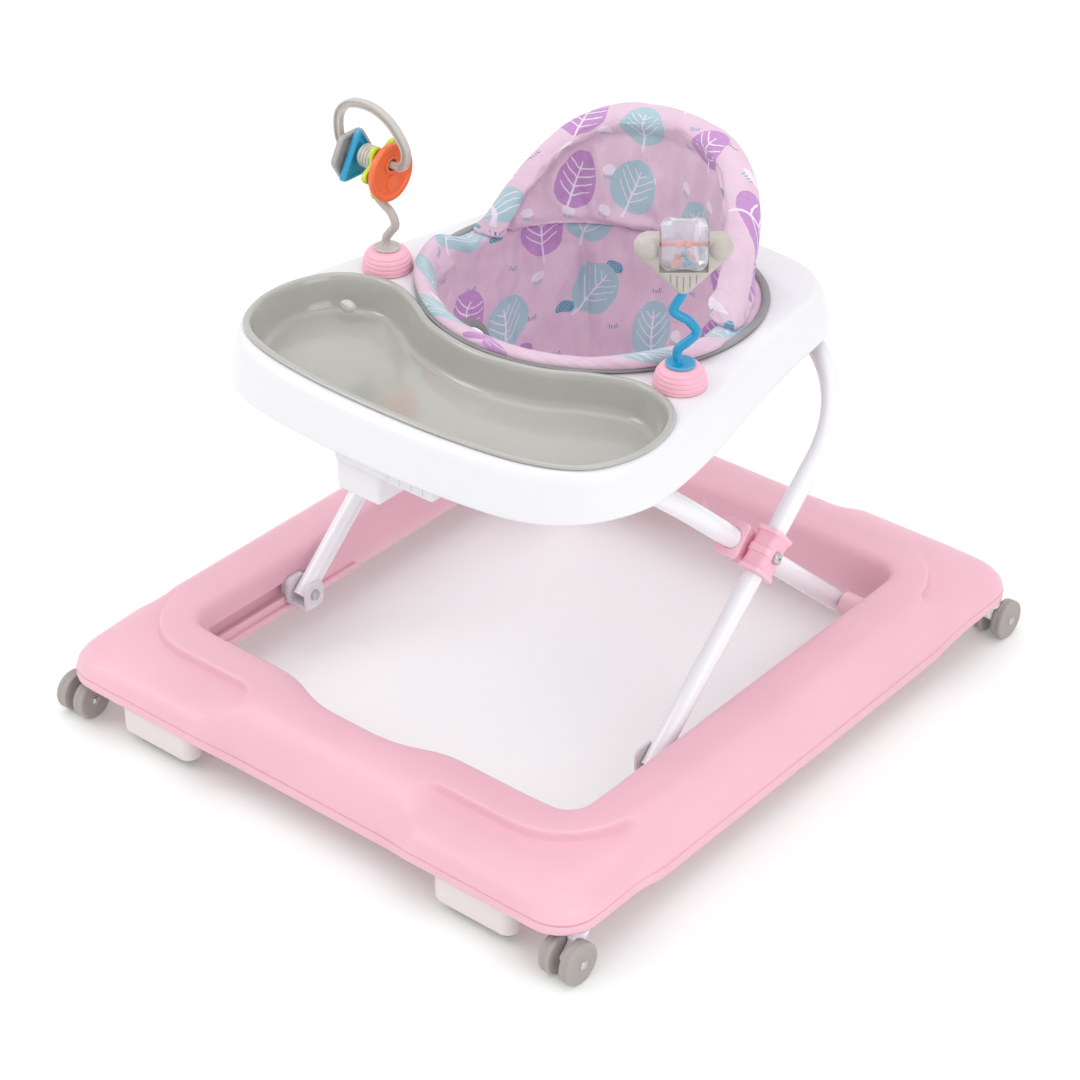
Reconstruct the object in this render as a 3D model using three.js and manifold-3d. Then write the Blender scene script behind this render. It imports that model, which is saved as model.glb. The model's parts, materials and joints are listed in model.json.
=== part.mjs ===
// A folding baby walker: a moulded base ring on four twin-wheel castors, a scissor of two U-shaped
// leg tubes, a tray with a lift-off snack tray, a fabric seat with a padded backrest, and two toys.
// Millimetres. X is to the right, Y to the back, Z up; the origin is on the floor under the middle.
import * as THREE from "three";
import { mergeVertices } from "three/addons/utils/BufferGeometryUtils.js";
import Module from "manifold-3d";

const wasm = await Module();
wasm.setup();

// ---- Driving sizes ----------------------------------------------------------------------------
const FIT = 0.4; // gap between pieces that touch or slide

// Base ring
const BASE_HALF_X = 306; // middle of the side rails
const BASE_HALF_Y = 337; // middle of the front and back rails
const PAD_PROUD_X = 5; // how far the corner pads stand out past the rails
const PAD_PROUD_Y = 14;
const PAD_START_X = 112; // where a corner pad ends on the front rail
const PAD_START_Y = 232; // where it ends on the side rail
const PAD_RADIUS = 38;
const SIDE_RAIL_WIDTH = 72;
const END_RAIL_WIDTH = 86;
const OPENING_RADIUS = 32;
const FRONT_NOTCH = 22; // how far the opening bulges into the front rail
const NOTCH_HALF = 76;
const RIDGE_INSET_X = 30; // from the rails' outer edge to the ridge
const RIDGE_INSET_Y = 45;
const RIDGE_RADIUS = 80;
const RIDGE_RISE = 53; // heights of the ring above the top of the wheels
const PAD_RISE = 6;
const RIM_DROP = 8; // the rails' lower edge is this much below the top of the wheels
const BASE_WALL = 3;
const SLOT_FRONT = -229; // guide slot of the sliding foot
const SLOT_BACK = -84;
const SLOT_HEIGHT = 17;
const SHOE_HALF = 13; // half the sliding foot's length

// Castors
const CASTOR_INSET_X = 12; // from a corner pad's edges to the castor's stem
const CASTOR_INSET_Y = 29;
const WHEEL_RADIUS = 20;
const WHEEL_WIDTH = 12;
const WHEEL_SPACING = 22.6;
const CASTOR_TRAIL = 14;
const AXLE_RADIUS = 3;
const STEM_RADIUS = 5;
const STEM_LENGTH = 19; // above the top of the wheels

// Stoppers
const STOPPER_X = 195;
const STOPPER_INSET = 6; // from the end rail's edge to the stopper's middle
const STOPPER_LENGTH = 92;
const STOPPER_DEPTH = 26;
const STOPPER_BOTTOM = 9;
const STOPPER_PAD = 3;

// Scissor legs: a leg's pivot is half way along it, so the tray stays level
const FOOT_RISE = 19; // the legs' lower pivots above the top of the wheels
const REAR_PIVOT_Y = 207;
const LEG_REACH = 160; // from the pivot to a leg's end, along Y
const LEG_RISE = 144; // and along Z
const LEG_CLEARANCE = 7.5; // between the outer leg and the opening's wall
const OUTER_LEG_RADIUS = 9.5;
const LEG_GAP = 7; // between the two legs at the crossing
const INNER_LEG_RADIUS = 10.5;
const OUTER_BAR_HALF = 102; // half the straight part of a leg's top bar
const INNER_BAR_HALF = 75;
const FOLD_DEGREES = 27; // how far a leg turns down as the walker folds
const SCREW_RADIUS = 3;
const REAR_PIN_RADIUS = 4;

// Tray
const TRAY_RISE = 50; // the tray's top above the middle of the legs' top bars
const SKIRT_HEIGHT = 45;
const TRAY_FRONT = 250;
const TRAY_BACK = 244;
const TRAY_HALF_WIDTH = 232;
const TRAY_REAR_HALF = 178;
const TRAY_WALL = 3;
const BEARING_PLAY = 0.5; // round the outer leg's bar in the tray's two bearings
const POCKET_DEPTH = 33;
const SNACK_FRONT = -228;
const SNACK_HALF = 216;
const SNACK_RIM = 3;

// Seat
const SEAT_CENTRE_Y = 60;
const SEAT_HALF_X = 162;
const SEAT_FRONT = 152; // from the seat's centre to the front of its opening
const SEAT_BACK = 143;
const SLING_DEPTH = 145; // below the tray's top
const SLING_THICKNESS = 7;
const BACKREST_RISE = 137; // above the tray's top
const BACKREST_THICKNESS = 27;
const BOARD_THICKNESS = 3;

// Toys
const TOY_X = 171.4;
const TOY_Y = -28.8;
const DOME_RADIUS = 24;
const DOME_HEIGHT = 20;
const DOME_PLUG = 9; // the part of the dome that sits in the tray's hole
const BAR_RISE = 108; // bar of the loop toy, above the tray's top
const BAR_RADIUS = 3.6;
const RING_PLAY = 2.2; // a ring's hole is this much larger than the bar
const STEM_TOY_RADIUS = 4.2;
const RATTLE_TURN = 40; // degrees from facing straight forward
const HOLDER_RISE = 131; // middle of the rattle's holder above the tray's top
const HOLDER_DROP = 40; // from the holder's middle to its lowest point
const DRUM_RADIUS = 23;
const DRUM_WIDTH = 40;
const DRUM_RISE = 6; // the drum's axle above the holder's middle
const BARREL_RADIUS = 11;
const BAR_OFFSET = -15; // middle of the loop's bar, across from the stem's foot
const BAR_HALF = 35;
const STEM_SOCKET = 9; // how far a stem enters the piece on its top

// ---- Places that follow from the sizes --------------------------------------------------------
const PAD_HALF_X = BASE_HALF_X + PAD_PROUD_X;
const PAD_HALF_Y = BASE_HALF_Y + PAD_PROUD_Y;
const OPENING_HALF_X = BASE_HALF_X - SIDE_RAIL_WIDTH;
const OPENING_HALF_Y = BASE_HALF_Y - END_RAIL_WIDTH;
const RIDGE_HALF_X = BASE_HALF_X - RIDGE_INSET_X;
const RIDGE_HALF_Y = BASE_HALF_Y - RIDGE_INSET_Y;
const CASTOR_X = PAD_HALF_X - CASTOR_INSET_X;
const CASTOR_Y = PAD_HALF_Y - CASTOR_INSET_Y;
const STOPPER_Y = BASE_HALF_Y - STOPPER_INSET;
const OUTER_LEG_X = OPENING_HALF_X - LEG_CLEARANCE - OUTER_LEG_RADIUS;
const INNER_LEG_X = OUTER_LEG_X - OUTER_LEG_RADIUS - LEG_GAP - INNER_LEG_RADIUS;
const WHEEL_TOP = WHEEL_RADIUS * 2;
const RIDGE_TOP = WHEEL_TOP + RIDGE_RISE;
const RIM_BOTTOM = WHEEL_TOP - RIM_DROP;
const PAD_BOTTOM = WHEEL_TOP + PAD_RISE;
const STEM_TOP = WHEEL_TOP + STEM_LENGTH;
const FOOT_HEIGHT = WHEEL_TOP + FOOT_RISE;
const PIVOT_Y = REAR_PIVOT_Y - LEG_REACH;
const PIVOT_Z = FOOT_HEIGHT + LEG_RISE;
const FRONT_FOOT_Y = PIVOT_Y - LEG_REACH;
const BAR_Z = PIVOT_Z + LEG_RISE;
const LEG_HALF = Math.hypot(LEG_REACH, LEG_RISE);
const LEG_ANGLE = Math.atan2(LEG_RISE, LEG_REACH);
const FACE_BETWEEN_LEGS = (OUTER_LEG_X - OUTER_LEG_RADIUS + INNER_LEG_X + INNER_LEG_RADIUS) / 2;
const TRAY_TOP = BAR_Z + TRAY_RISE;
const SKIRT_BOTTOM = TRAY_TOP - SKIRT_HEIGHT;
const POCKET_FLOOR = TRAY_TOP - POCKET_DEPTH;
const SLING_BOTTOM = TRAY_TOP - SLING_DEPTH;
const RIM_TOP = TRAY_TOP + 4;
const LEG_DEGREES = LEG_ANGLE * (180 / Math.PI);
const DRUM_Z = HOLDER_RISE + DRUM_RISE;

// ---- Colours ----------------------------------------------------------------------------------
const finish = (color, roughness = 0.45, metalness = 0) =>
  new THREE.MeshStandardMaterial({ color, roughness, metalness });
const PINK = finish(0xf6c1d1);
const WHITE = finish(0xf0f0f3, 0.35);
const SNACK_GREY = finish(0xbebeb8, 0.2);
const LEG_WHITE = finish(0xe1dfe6, 0.25);
const STEEL = finish(0xb8b8ba, 0.3, 1);
const WHEEL_GREY = finish(0xb2a59e, 0.6);
const RUBBER = finish(0x8d8986, 0.85);
const STOPPER_WHITE = finish(0xe8dede, 0.5);
const FABRIC = finish(0xdebed4, 0.9);
const BINDING = finish(0xa09ea0, 0.85);
const BOARD = finish(0xd8d4cc, 0.8);
const TOY_GREY = finish(0xbeb6af, 0.4);
const BLUE = finish(0x00a0c8, 0.3);
const HEX_GREY = finish(0xa5a2a0, 0.45);
const LIME = finish(0xcde13c, 0.4);
const ORANGE = finish(0xf56928, 0.4);
const CLEAR = finish(0xeef3f6, 0.1);
const CORAL = finish(0xf09a90, 0.4);

// ---- Solids -----------------------------------------------------------------------------------
// A closed geometry as a solid that can be joined and cut.
function solid(geometry) {
  const bare = geometry.index ? geometry.toNonIndexed() : geometry.clone();
  bare.deleteAttribute("normal");
  bare.deleteAttribute("uv");
  const merged = mergeVertices(bare, 1e-4);
  const made = new wasm.Manifold(
    new wasm.Mesh({
      numProp: 3,
      vertProperties: new Float32Array(merged.attributes.position.array),
      triVerts: new Uint32Array(merged.index.array),
    }),
  );
  return made;
}

// A solid as a named mesh.
function piece(name, body, material) {
  const cut = body.getMesh();
  const geometry = new THREE.BufferGeometry();
  const stride = cut.numProp;
  const points = new Float32Array(cut.numVert * 3);
  for (let i = 0; i < cut.numVert; i++) {
    points.set(cut.vertProperties.subarray(i * stride, i * stride + 3), i * 3);
  }
  geometry.setAttribute("position", new THREE.BufferAttribute(points, 3));
  geometry.setIndex(new THREE.BufferAttribute(cut.triVerts, 1));
  geometry.computeVertexNormals();
  const mesh = new THREE.Mesh(geometry, material);
  mesh.name = name;
  return mesh;
}

// Rings of points joined into a closed skin: wrapped round on itself, or capped at both ends.
function loft(rings, wrapped = false) {
  const around = rings[0].length;
  const points = rings.flat();
  const faces = [];
  const last = wrapped ? rings.length : rings.length - 1;
  for (let i = 0; i < last; i++) {
    const low = i * around;
    const high = ((i + 1) % rings.length) * around;
    for (let j = 0; j < around; j++) {
      const k = (j + 1) % around;
      faces.push(low + j, low + k, high + k, low + j, high + k, high + j);
    }
  }
  if (!wrapped) {
    const ends = [0, (rings.length - 1) * around];
    ends.forEach((start, end) => {
      const middle = new THREE.Vector3();
      for (let j = 0; j < around; j++) middle.add(points[start + j]);
      points.push(middle.divideScalar(around));
      for (let j = 0; j < around; j++) {
        const k = (j + 1) % around;
        if (end === 0) faces.push(points.length - 1, start + k, start + j);
        else faces.push(points.length - 1, start + j, start + k);
      }
    });
  }
  const geometry = new THREE.BufferGeometry().setFromPoints(points);
  geometry.setIndex(faces);
  const made = solid(geometry);
  if (made.volume() > 0) return made;
  geometry.setIndex(faces.toReversed());
  return solid(geometry);
}

// An outline at rising heights, each with its own growth: a moulded skin's block.
function stack(outline, levels) {
  return loft(levels.map(([z, growth]) => at(grown(outline, growth), z)));
}

function at(outline, z) {
  return outline.map((p) => new THREE.Vector3(p.x, p.y, z));
}

// An outline moved outwards by a distance along its normals.
function grown(outline, distance) {
  const n = outline.length;
  return outline.map((p, i) => {
    const before = outline[(i + n - 1) % n];
    const after = outline[(i + 1) % n];
    const along = new THREE.Vector2().subVectors(after, before).normalize();
    return new THREE.Vector2(p.x + along.y * distance, p.y - along.x * distance);
  });
}

// A smooth closed outline from the points of its right half, front to back, anticlockwise.
function mirrored(half, count) {
  const right = half.map(([x, y]) => new THREE.Vector3(x, y, 0));
  const left = half.filter(([x]) => x > 0).map(([x, y]) => new THREE.Vector3(-x, y, 0)).reverse();
  const curve = new THREE.CatmullRomCurve3([...right, ...left], true, "centripetal");
  return curve.getSpacedPoints(count).slice(0, count).map((p) => new THREE.Vector2(p.x, p.y));
}

function box(x0, x1, y0, y1, z0, z1) {
  const geometry = new THREE.BoxGeometry(x1 - x0, y1 - y0, z1 - z0);
  return solid(geometry.translate((x0 + x1) / 2, (y0 + y1) / 2, (z0 + z1) / 2));
}

// A round bar along X, Y or Z between two places on that axis.
function rod(axis, radius, from, to, a, b, sides = 10) {
  const geometry = new THREE.CylinderGeometry(radius, radius, to - from, sides);
  const middle = (from + to) / 2;
  if (axis === "x") return solid(geometry.rotateZ(Math.PI / 2).translate(middle, a, b));
  if (axis === "y") return solid(geometry.translate(a, middle, b));
  return solid(geometry.rotateX(Math.PI / 2).translate(a, b, middle));
}

// A round tube along a list of points that lie in one plane with the given normal.
function tube(path, radius, normal, sides = 10) {
  const rings = path.map((point, i) => {
    const before = path[Math.max(i - 1, 0)];
    const after = path[Math.min(i + 1, path.length - 1)];
    const along = new THREE.Vector3().subVectors(after, before).normalize();
    const across = new THREE.Vector3().crossVectors(normal, along);
    return Array.from({ length: sides }, (_, j) => {
      const turn = (j / sides) * 2 * Math.PI;
      return new THREE.Vector3()
        .copy(point)
        .addScaledVector(across, radius * Math.cos(turn))
        .addScaledVector(normal, radius * Math.sin(turn));
    });
  });
  return loft(rings);
}

// A flat shape with its thickness, from an outline of Vector2 in the XY plane.
function plate(outline, z0, z1) {
  return loft([at(outline, z0), at(outline, z1)]);
}

const ends = (a, b) => [Math.min(a, b), Math.max(a, b)];

function polar(count, radiusAt) {
  return Array.from({ length: count }, (_, i) => {
    const turn = (i / count) * 2 * Math.PI;
    const radius = radiusAt(turn);
    return new THREE.Vector2(radius * Math.cos(turn), radius * Math.sin(turn));
  });
}

// ---- Base ring --------------------------------------------------------------------------------
// Every outline of the ring has the same number of points: along a rail they lie square across it,
// and round a corner they lie on rays from one common point.
const FRONT_STEPS = 10;
const SIDE_STEPS = 4;
const CORNER_X = 150;
const CORNER_Y = 190;
const CORNER_RAYS = [0, 12, 22, 32, 39, 45, 52, 65];

const smooth = (t) => {
  const s = Math.min(Math.max(t, 0), 1);
  return s * s * (3 - 2 * s);
};

// Where a ray from the corner's common point meets one quarter of a rounded rectangle.
function cornerPoint(halfX, halfY, radius, degrees) {
  const turn = (degrees * Math.PI) / 180;
  const dx = Math.cos(turn);
  const dy = Math.sin(turn);
  const toSide = (halfX - CORNER_X) / Math.max(dx, 1e-9);
  if (CORNER_Y + toSide * dy <= halfY - radius) return [halfX, CORNER_Y + toSide * dy];
  const toFront = (halfY - CORNER_Y) / Math.max(dy, 1e-9);
  if (CORNER_X + toFront * dx <= halfX - radius) return [CORNER_X + toFront * dx, halfY];
  const fx = CORNER_X - (halfX - radius);
  const fy = CORNER_Y - (halfY - radius);
  const b = fx * dx + fy * dy;
  const reach = -b + Math.sqrt(b * b - (fx * fx + fy * fy - radius * radius));
  return [CORNER_X + reach * dx, CORNER_Y + reach * dy];
}

// Anticlockwise from the middle-right of the front rail.
function ringOutline(halfX, halfY, radius) {
  const corner = CORNER_RAYS.map((degrees) => cornerPoint(halfX, halfY, radius, degrees));
  const steps = (count) => Array.from({ length: count }, (_, i) => (2 * i) / count - 1);
  const side = steps(SIDE_STEPS).map((share) => [halfX, CORNER_Y * share]);
  const front = steps(FRONT_STEPS).map((share) => [-CORNER_X * share, halfY]);
  const frontCorner = corner.slice(1).map(([x, y]) => [x, -y]).reverse();
  const right = [[CORNER_X, -halfY], ...frontCorner, ...side, ...corner];
  const half = [...right, ...front];
  const turned = half.map(([x, y]) => [-x, -y]);
  return [...half, ...turned].map(([x, y]) => new THREE.Vector2(x, y));
}

// 1 on a corner pad, 0 on the middle of a rail.
function padShare(p) {
  const blend = 14;
  if (Math.abs(p.y) >= BASE_HALF_Y - 1) return smooth((Math.abs(p.x) - PAD_START_X + blend) / (2 * blend));
  return smooth((Math.abs(p.y) - PAD_START_Y + blend) / (2 * blend));
}

// The ring's outer skin, from the foot of the inner wall over the ridge to the rim's lower edge.
function baseSkin() {
  const opening = ringOutline(OPENING_HALF_X, OPENING_HALF_Y, OPENING_RADIUS).map((p) => {
    const onFront = p.y < 1 - OPENING_HALF_Y;
    const bulge = onFront ? FRONT_NOTCH * Math.exp(-((p.x / NOTCH_HALF) ** 4)) : 0;
    return new THREE.Vector2(p.x, p.y - bulge);
  });
  const ridge = ringOutline(RIDGE_HALF_X, RIDGE_HALF_Y, RIDGE_RADIUS);
  const rail = ringOutline(BASE_HALF_X, BASE_HALF_Y, PAD_RADIUS);
  const pad = ringOutline(PAD_HALF_X, PAD_HALF_Y, PAD_RADIUS);
  return opening.map((inner, i) => {
    const share = padShare(rail[i]);
    const rim = new THREE.Vector2().lerpVectors(rail[i], pad[i], share);
    const mix = (low, high) => low + (high - low) * share;
    const between = (a, b, t) => new THREE.Vector2().lerpVectors(a, b, t);
    const width = inner.distanceTo(ridge[i]);
    const places = [
      [inner, RIM_BOTTOM + 2],
      [inner, RIDGE_TOP - 12],
      [between(inner, ridge[i], 4 / width), RIDGE_TOP - 4],
      [between(inner, ridge[i], 12 / width), RIDGE_TOP],
      [ridge[i], RIDGE_TOP],
      [between(ridge[i], rim, mix(0.36, 0.24)), mix(RIDGE_TOP - 4, RIDGE_TOP - 5)],
      [between(ridge[i], rim, mix(0.72, 0.36)), mix(RIDGE_TOP - 15, RIDGE_TOP - 19)],
      [between(ridge[i], rim, mix(0.93, 0.84)), mix(RIDGE_TOP - 33, RIDGE_TOP - 25)],
      [rim, mix(RIM_BOTTOM + 18, PAD_BOTTOM + 14)],
      [rim, mix(RIM_BOTTOM, PAD_BOTTOM)],
    ];
    return places.map(([p, z]) => new THREE.Vector3(p.x, p.y, z));
  });
}

const HOLLOW_ROWS = [1, 3, 4, 6, 8]; // rows of the skin that the plainer hollow follows

// The same skin moved inwards by a distance, carried down past the floor: the hollow under it.
function hollowUnder(skin, distance) {
  const n = skin.length;
  return skin.map((ring, i) => {
    const before = skin[(i + n - 1) % n];
    const after = skin[(i + 1) % n];
    const moved = ring.map((p, j) => {
      const along = new THREE.Vector3().subVectors(after[j], before[j]);
      const low = ring[Math.max(j - 1, 0)];
      const high = ring[Math.min(j + 1, ring.length - 1)];
      const up = new THREE.Vector3().subVectors(high, low);
      const normal = new THREE.Vector3().crossVectors(up, along).normalize();
      return new THREE.Vector3().copy(p).addScaledVector(normal, -distance);
    });
    const first = moved[0].clone().setZ(-5);
    const last = moved[moved.length - 1].clone().setZ(-5);
    const kept = moved.filter((_, j) => HOLLOW_ROWS.includes(j));
    return [first, ...kept, last];
  });
}

const BASE_SKIN = baseSkin();

function baseFrame() {
  const outer = loft(BASE_SKIN, true);
  let body = outer.subtract(loft(hollowUnder(BASE_SKIN, BASE_WALL), true));
  for (const sx of [-1, 1]) {
    for (const sy of [-1, 1]) {
      const boss = rod("z", STEM_RADIUS + 4, PAD_BOTTOM - 1, RIDGE_TOP, sx * CASTOR_X, sy * CASTOR_Y);
      const hole = rod("z", STEM_RADIUS + FIT, 0, STEM_TOP + FIT, sx * CASTOR_X, sy * CASTOR_Y);
      body = body.add(boss.intersect(outer)).subtract(hole);
    }
    const wall = sx * OPENING_HALF_X;
    const bossEnds = [wall + sx * 4, sx * (INNER_LEG_X + INNER_LEG_RADIUS + 3)].sort((a, b) => a - b);
    const boss = rod("x", 13, ...bossEnds, REAR_PIVOT_Y, FOOT_HEIGHT, 16);
    const bore = rod("x", REAR_PIN_RADIUS + FIT, wall - 60, wall + 60, REAR_PIVOT_Y, FOOT_HEIGHT);
    const slot = box(
      ...[wall - 8, wall + 8],
      ...[SLOT_FRONT, SLOT_BACK],
      ...[FOOT_HEIGHT - SLOT_HEIGHT / 2, FOOT_HEIGHT + SLOT_HEIGHT / 2],
    );
    body = body.add(boss).subtract(slot).subtract(bore);
  }
  const arch = rod("y", 150, OPENING_HALF_Y - 12, OPENING_HALF_Y + 8, 0, -88, 48);
  return piece("base_frame", body.subtract(arch), PINK);
}

// ---- Stoppers ---------------------------------------------------------------------------------
function roundEnded(length, depth) {
  const radius = depth / 2;
  const half = length / 2 - radius;
  const points = [];
  for (let i = 0; i <= 6; i++) {
    const turn = -Math.PI / 2 + (i / 6) * Math.PI;
    points.push(new THREE.Vector2(half + radius * Math.cos(turn), radius * Math.sin(turn)));
  }
  return [...points, ...points.map((p) => new THREE.Vector2(-p.x, -p.y))];
}

function stopper(name, sx, sy) {
  const outline = roundEnded(STOPPER_LENGTH, STOPPER_DEPTH);
  const block = stack(outline, [
    [STOPPER_BOTTOM, -1.5],
    [STOPPER_BOTTOM + 2, 0],
    [RIDGE_TOP, 0],
  ]).translate([sx * STOPPER_X, sy * STOPPER_Y, 0]);
  const recess = stack(outline, [
    [STOPPER_BOTTOM - 1, -4],
    [STOPPER_BOTTOM + STOPPER_PAD, -4],
  ]).translate([sx * STOPPER_X, sy * STOPPER_Y, 0]);
  const hollow = loft(hollowUnder(BASE_SKIN, BASE_WALL + FIT), true);
  return piece("stopper_" + name, block.subtract(recess).intersect(hollow), STOPPER_WHITE);
}

function stopperPad(name, sx, sy) {
  const outline = roundEnded(STOPPER_LENGTH, STOPPER_DEPTH);
  const pad = stack(outline, [
    [STOPPER_BOTTOM - 1.6, -4 - FIT],
    [STOPPER_BOTTOM + STOPPER_PAD - FIT, -4 - FIT],
  ]);
  const mesh = piece("stopper_pad_" + name, pad, RUBBER);
  mesh.position.set(sx * STOPPER_X, sy * STOPPER_Y, 0);
  return mesh;
}

// ---- Castors: built round the stem's axis, with the wheels trailing towards +Y -----------------
function castorFork() {
  const stem = rod("z", STEM_RADIUS, WHEEL_TOP, STEM_TOP, 0, 0);
  const collar = rod("z", 9, WHEEL_TOP - 1, PAD_BOTTOM - 1.4, 0, 0, 14);
  const web = new THREE.Shape();
  const thick = WHEEL_SPACING - WHEEL_WIDTH - 2 * FIT;
  web.moveTo(-9, WHEEL_TOP + 2);
  web.quadraticCurveTo(-8, WHEEL_RADIUS + 6, CASTOR_TRAIL - 7, WHEEL_RADIUS - 3);
  web.absarc(CASTOR_TRAIL, WHEEL_RADIUS, 7, Math.PI * 1.2, Math.PI * 2.1, false);
  web.quadraticCurveTo(CASTOR_TRAIL + 6, WHEEL_RADIUS + 16, 9, WHEEL_TOP + 2);
  const side = new THREE.ExtrudeGeometry(web, { depth: thick, bevelEnabled: false, curveSegments: 4 });
  side.rotateX(Math.PI / 2).rotateZ(Math.PI / 2).translate(-thick / 2, 0, 0);
  const hole = rod("x", AXLE_RADIUS + FIT, -20, 20, CASTOR_TRAIL, WHEEL_RADIUS);
  return stem.add(collar).add(solid(side)).subtract(hole);
}

function wheel() {
  const half = WHEEL_WIDTH / 2;
  const profile = [
    [AXLE_RADIUS + FIT, -half],
    [WHEEL_RADIUS - 1.5, -half],
    [WHEEL_RADIUS, -half + 1.8],
    [WHEEL_RADIUS, half - 1.8],
    [WHEEL_RADIUS - 1.5, half],
    [AXLE_RADIUS + FIT, half],
    [AXLE_RADIUS + FIT, -half],
  ].map(([r, z]) => new THREE.Vector2(r, z));
  return solid(new THREE.LatheGeometry(profile, 14).rotateZ(-Math.PI / 2));
}

function castorAxle() {
  const headFace = WHEEL_SPACING / 2 + WHEEL_WIDTH / 2 + FIT;
  const shaft = rod("x", AXLE_RADIUS, -headFace - 1, headFace + 1, 0, 0);
  const head = rod("x", AXLE_RADIUS + 1.6, headFace, headFace + 1.4, 0, 0);
  return shaft.add(head).add(head.mirror([1, 0, 0]));
}

function castor(name, sx, sy) {
  const group = new THREE.Group();
  group.position.set(sx * CASTOR_X, sy * CASTOR_Y, 0);
  group.rotation.z = sy > 0 ? 0 : Math.PI;
  group.add(piece("castor_fork_" + name, castorFork(), WHITE));
  const axle = piece("castor_axle_" + name, castorAxle(), STEEL);
  axle.position.set(0, CASTOR_TRAIL, WHEEL_RADIUS);
  group.add(axle);
  for (const [side, x] of [["a", -WHEEL_SPACING / 2], ["b", WHEEL_SPACING / 2]]) {
    const mesh = piece("castor_wheel_" + name + "_" + side, wheel(), WHEEL_GREY);
    mesh.position.set(x, CASTOR_TRAIL, WHEEL_RADIUS);
    group.add(mesh);
  }
  return group;
}

// ---- Scissor legs -----------------------------------------------------------------------------
// A U-shaped tube in a sloping plane: down from one foot, round the top bar, back to the other foot.
// toBack is 1 for the leg whose top bar is at the back.
function hoop(halfWidth, barHalf, radius, toBack, footTrim) {
  const bend = halfWidth - barHalf;
  const slope = new THREE.Vector3(0, toBack * Math.cos(LEG_ANGLE), Math.sin(LEG_ANGLE));
  const centre = new THREE.Vector3(0, PIVOT_Y, PIVOT_Z);
  const place = (x, s) => new THREE.Vector3(x, 0, 0).add(centre).addScaledVector(slope, s);
  const right = [place(halfWidth, -LEG_HALF + footTrim)];
  for (let i = 0; i <= 8; i++) {
    const turn = (i / 8) * (Math.PI / 2);
    const x = barHalf + bend * Math.cos(turn);
    right.push(place(x, LEG_HALF - bend + bend * Math.sin(turn)));
  }
  const left = right.map((p) => new THREE.Vector3(-p.x, p.y, p.z)).reverse();
  const normal = new THREE.Vector3(1, 0, 0).cross(slope).normalize();
  return tube([...right, ...left], radius, normal);
}

function boredAcross(body, radius, y, z) {
  return body.subtract(rod("x", radius, -400, 400, y, z));
}

function outerLeg() {
  let body = hoop(OUTER_LEG_X, OUTER_BAR_HALF, OUTER_LEG_RADIUS, 1, -7);
  body = boredAcross(body, SCREW_RADIUS + FIT, PIVOT_Y, PIVOT_Z);
  body = boredAcross(body, SCREW_RADIUS + FIT, FRONT_FOOT_Y, FOOT_HEIGHT);
  return piece("outer_leg_tube", body, LEG_WHITE);
}

function innerLeg() {
  let body = hoop(INNER_LEG_X, INNER_BAR_HALF, INNER_LEG_RADIUS, -1, -8);
  body = boredAcross(body, SCREW_RADIUS + FIT, PIVOT_Y, PIVOT_Z);
  body = boredAcross(body, REAR_PIN_RADIUS + FIT, REAR_PIVOT_Y, FOOT_HEIGHT);
  return piece("inner_leg_tube", body, LEG_WHITE);
}

// A moulded clamp round a leg at the crossing, between two planes across X, ribbed on its ends.
function clamp(name, side, x0, x1, legX, legRadius, toBack) {
  let body = box(x0, x1, -22, 22, -16, 16);
  for (const end of [-20, 20]) body = body.add(box(x0, x1, end - 2, end + 2, -18, 18));
  body = body.subtract(rod("y", legRadius + FIT, -60, 60, legX, 0, 16));
  body = body.subtract(rod("x", SCREW_RADIUS + FIT, x0 - 5, x1 + 5, 0, 0));
  const sided = side > 0 ? body : body.mirror([1, 0, 0]);
  const mesh = piece(name, sided.rotate([toBack * LEG_DEGREES, 0, 0]), PINK);
  mesh.position.set(0, PIVOT_Y, PIVOT_Z);
  return mesh;
}

function pivot(label, side) {
  const group = new THREE.Group();
  const face = FACE_BETWEEN_LEGS;
  const outerFace = OUTER_LEG_X + OUTER_LEG_RADIUS + 4;
  const innerFace = INNER_LEG_X - INNER_LEG_RADIUS - 3;
  const outer = [face + FIT / 2, outerFace];
  const inner = [innerFace, face - FIT / 2];
  group.add(clamp("pivot_clamp_outer_" + label, side, ...outer, OUTER_LEG_X, OUTER_LEG_RADIUS, 1));
  group.add(clamp("pivot_clamp_inner_" + label, side, ...inner, INNER_LEG_X, INNER_LEG_RADIUS, -1));
  const shaft = rod("x", SCREW_RADIUS, innerFace - 2, outerFace + 2, 0, 0);
  const head = rod("x", 6, outerFace + FIT, outerFace + 3.4, 0, 0, 14);
  const tail = rod("x", 5, innerFace - 3.4, innerFace - FIT, 0, 0, 14);
  const screw = shaft.add(head).add(tail);
  const mesh = piece("pivot_screw_" + label, side > 0 ? screw : screw.mirror([1, 0, 0]), STEEL);
  mesh.position.set(0, PIVOT_Y, PIVOT_Z);
  group.add(mesh);
  return group;
}

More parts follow.
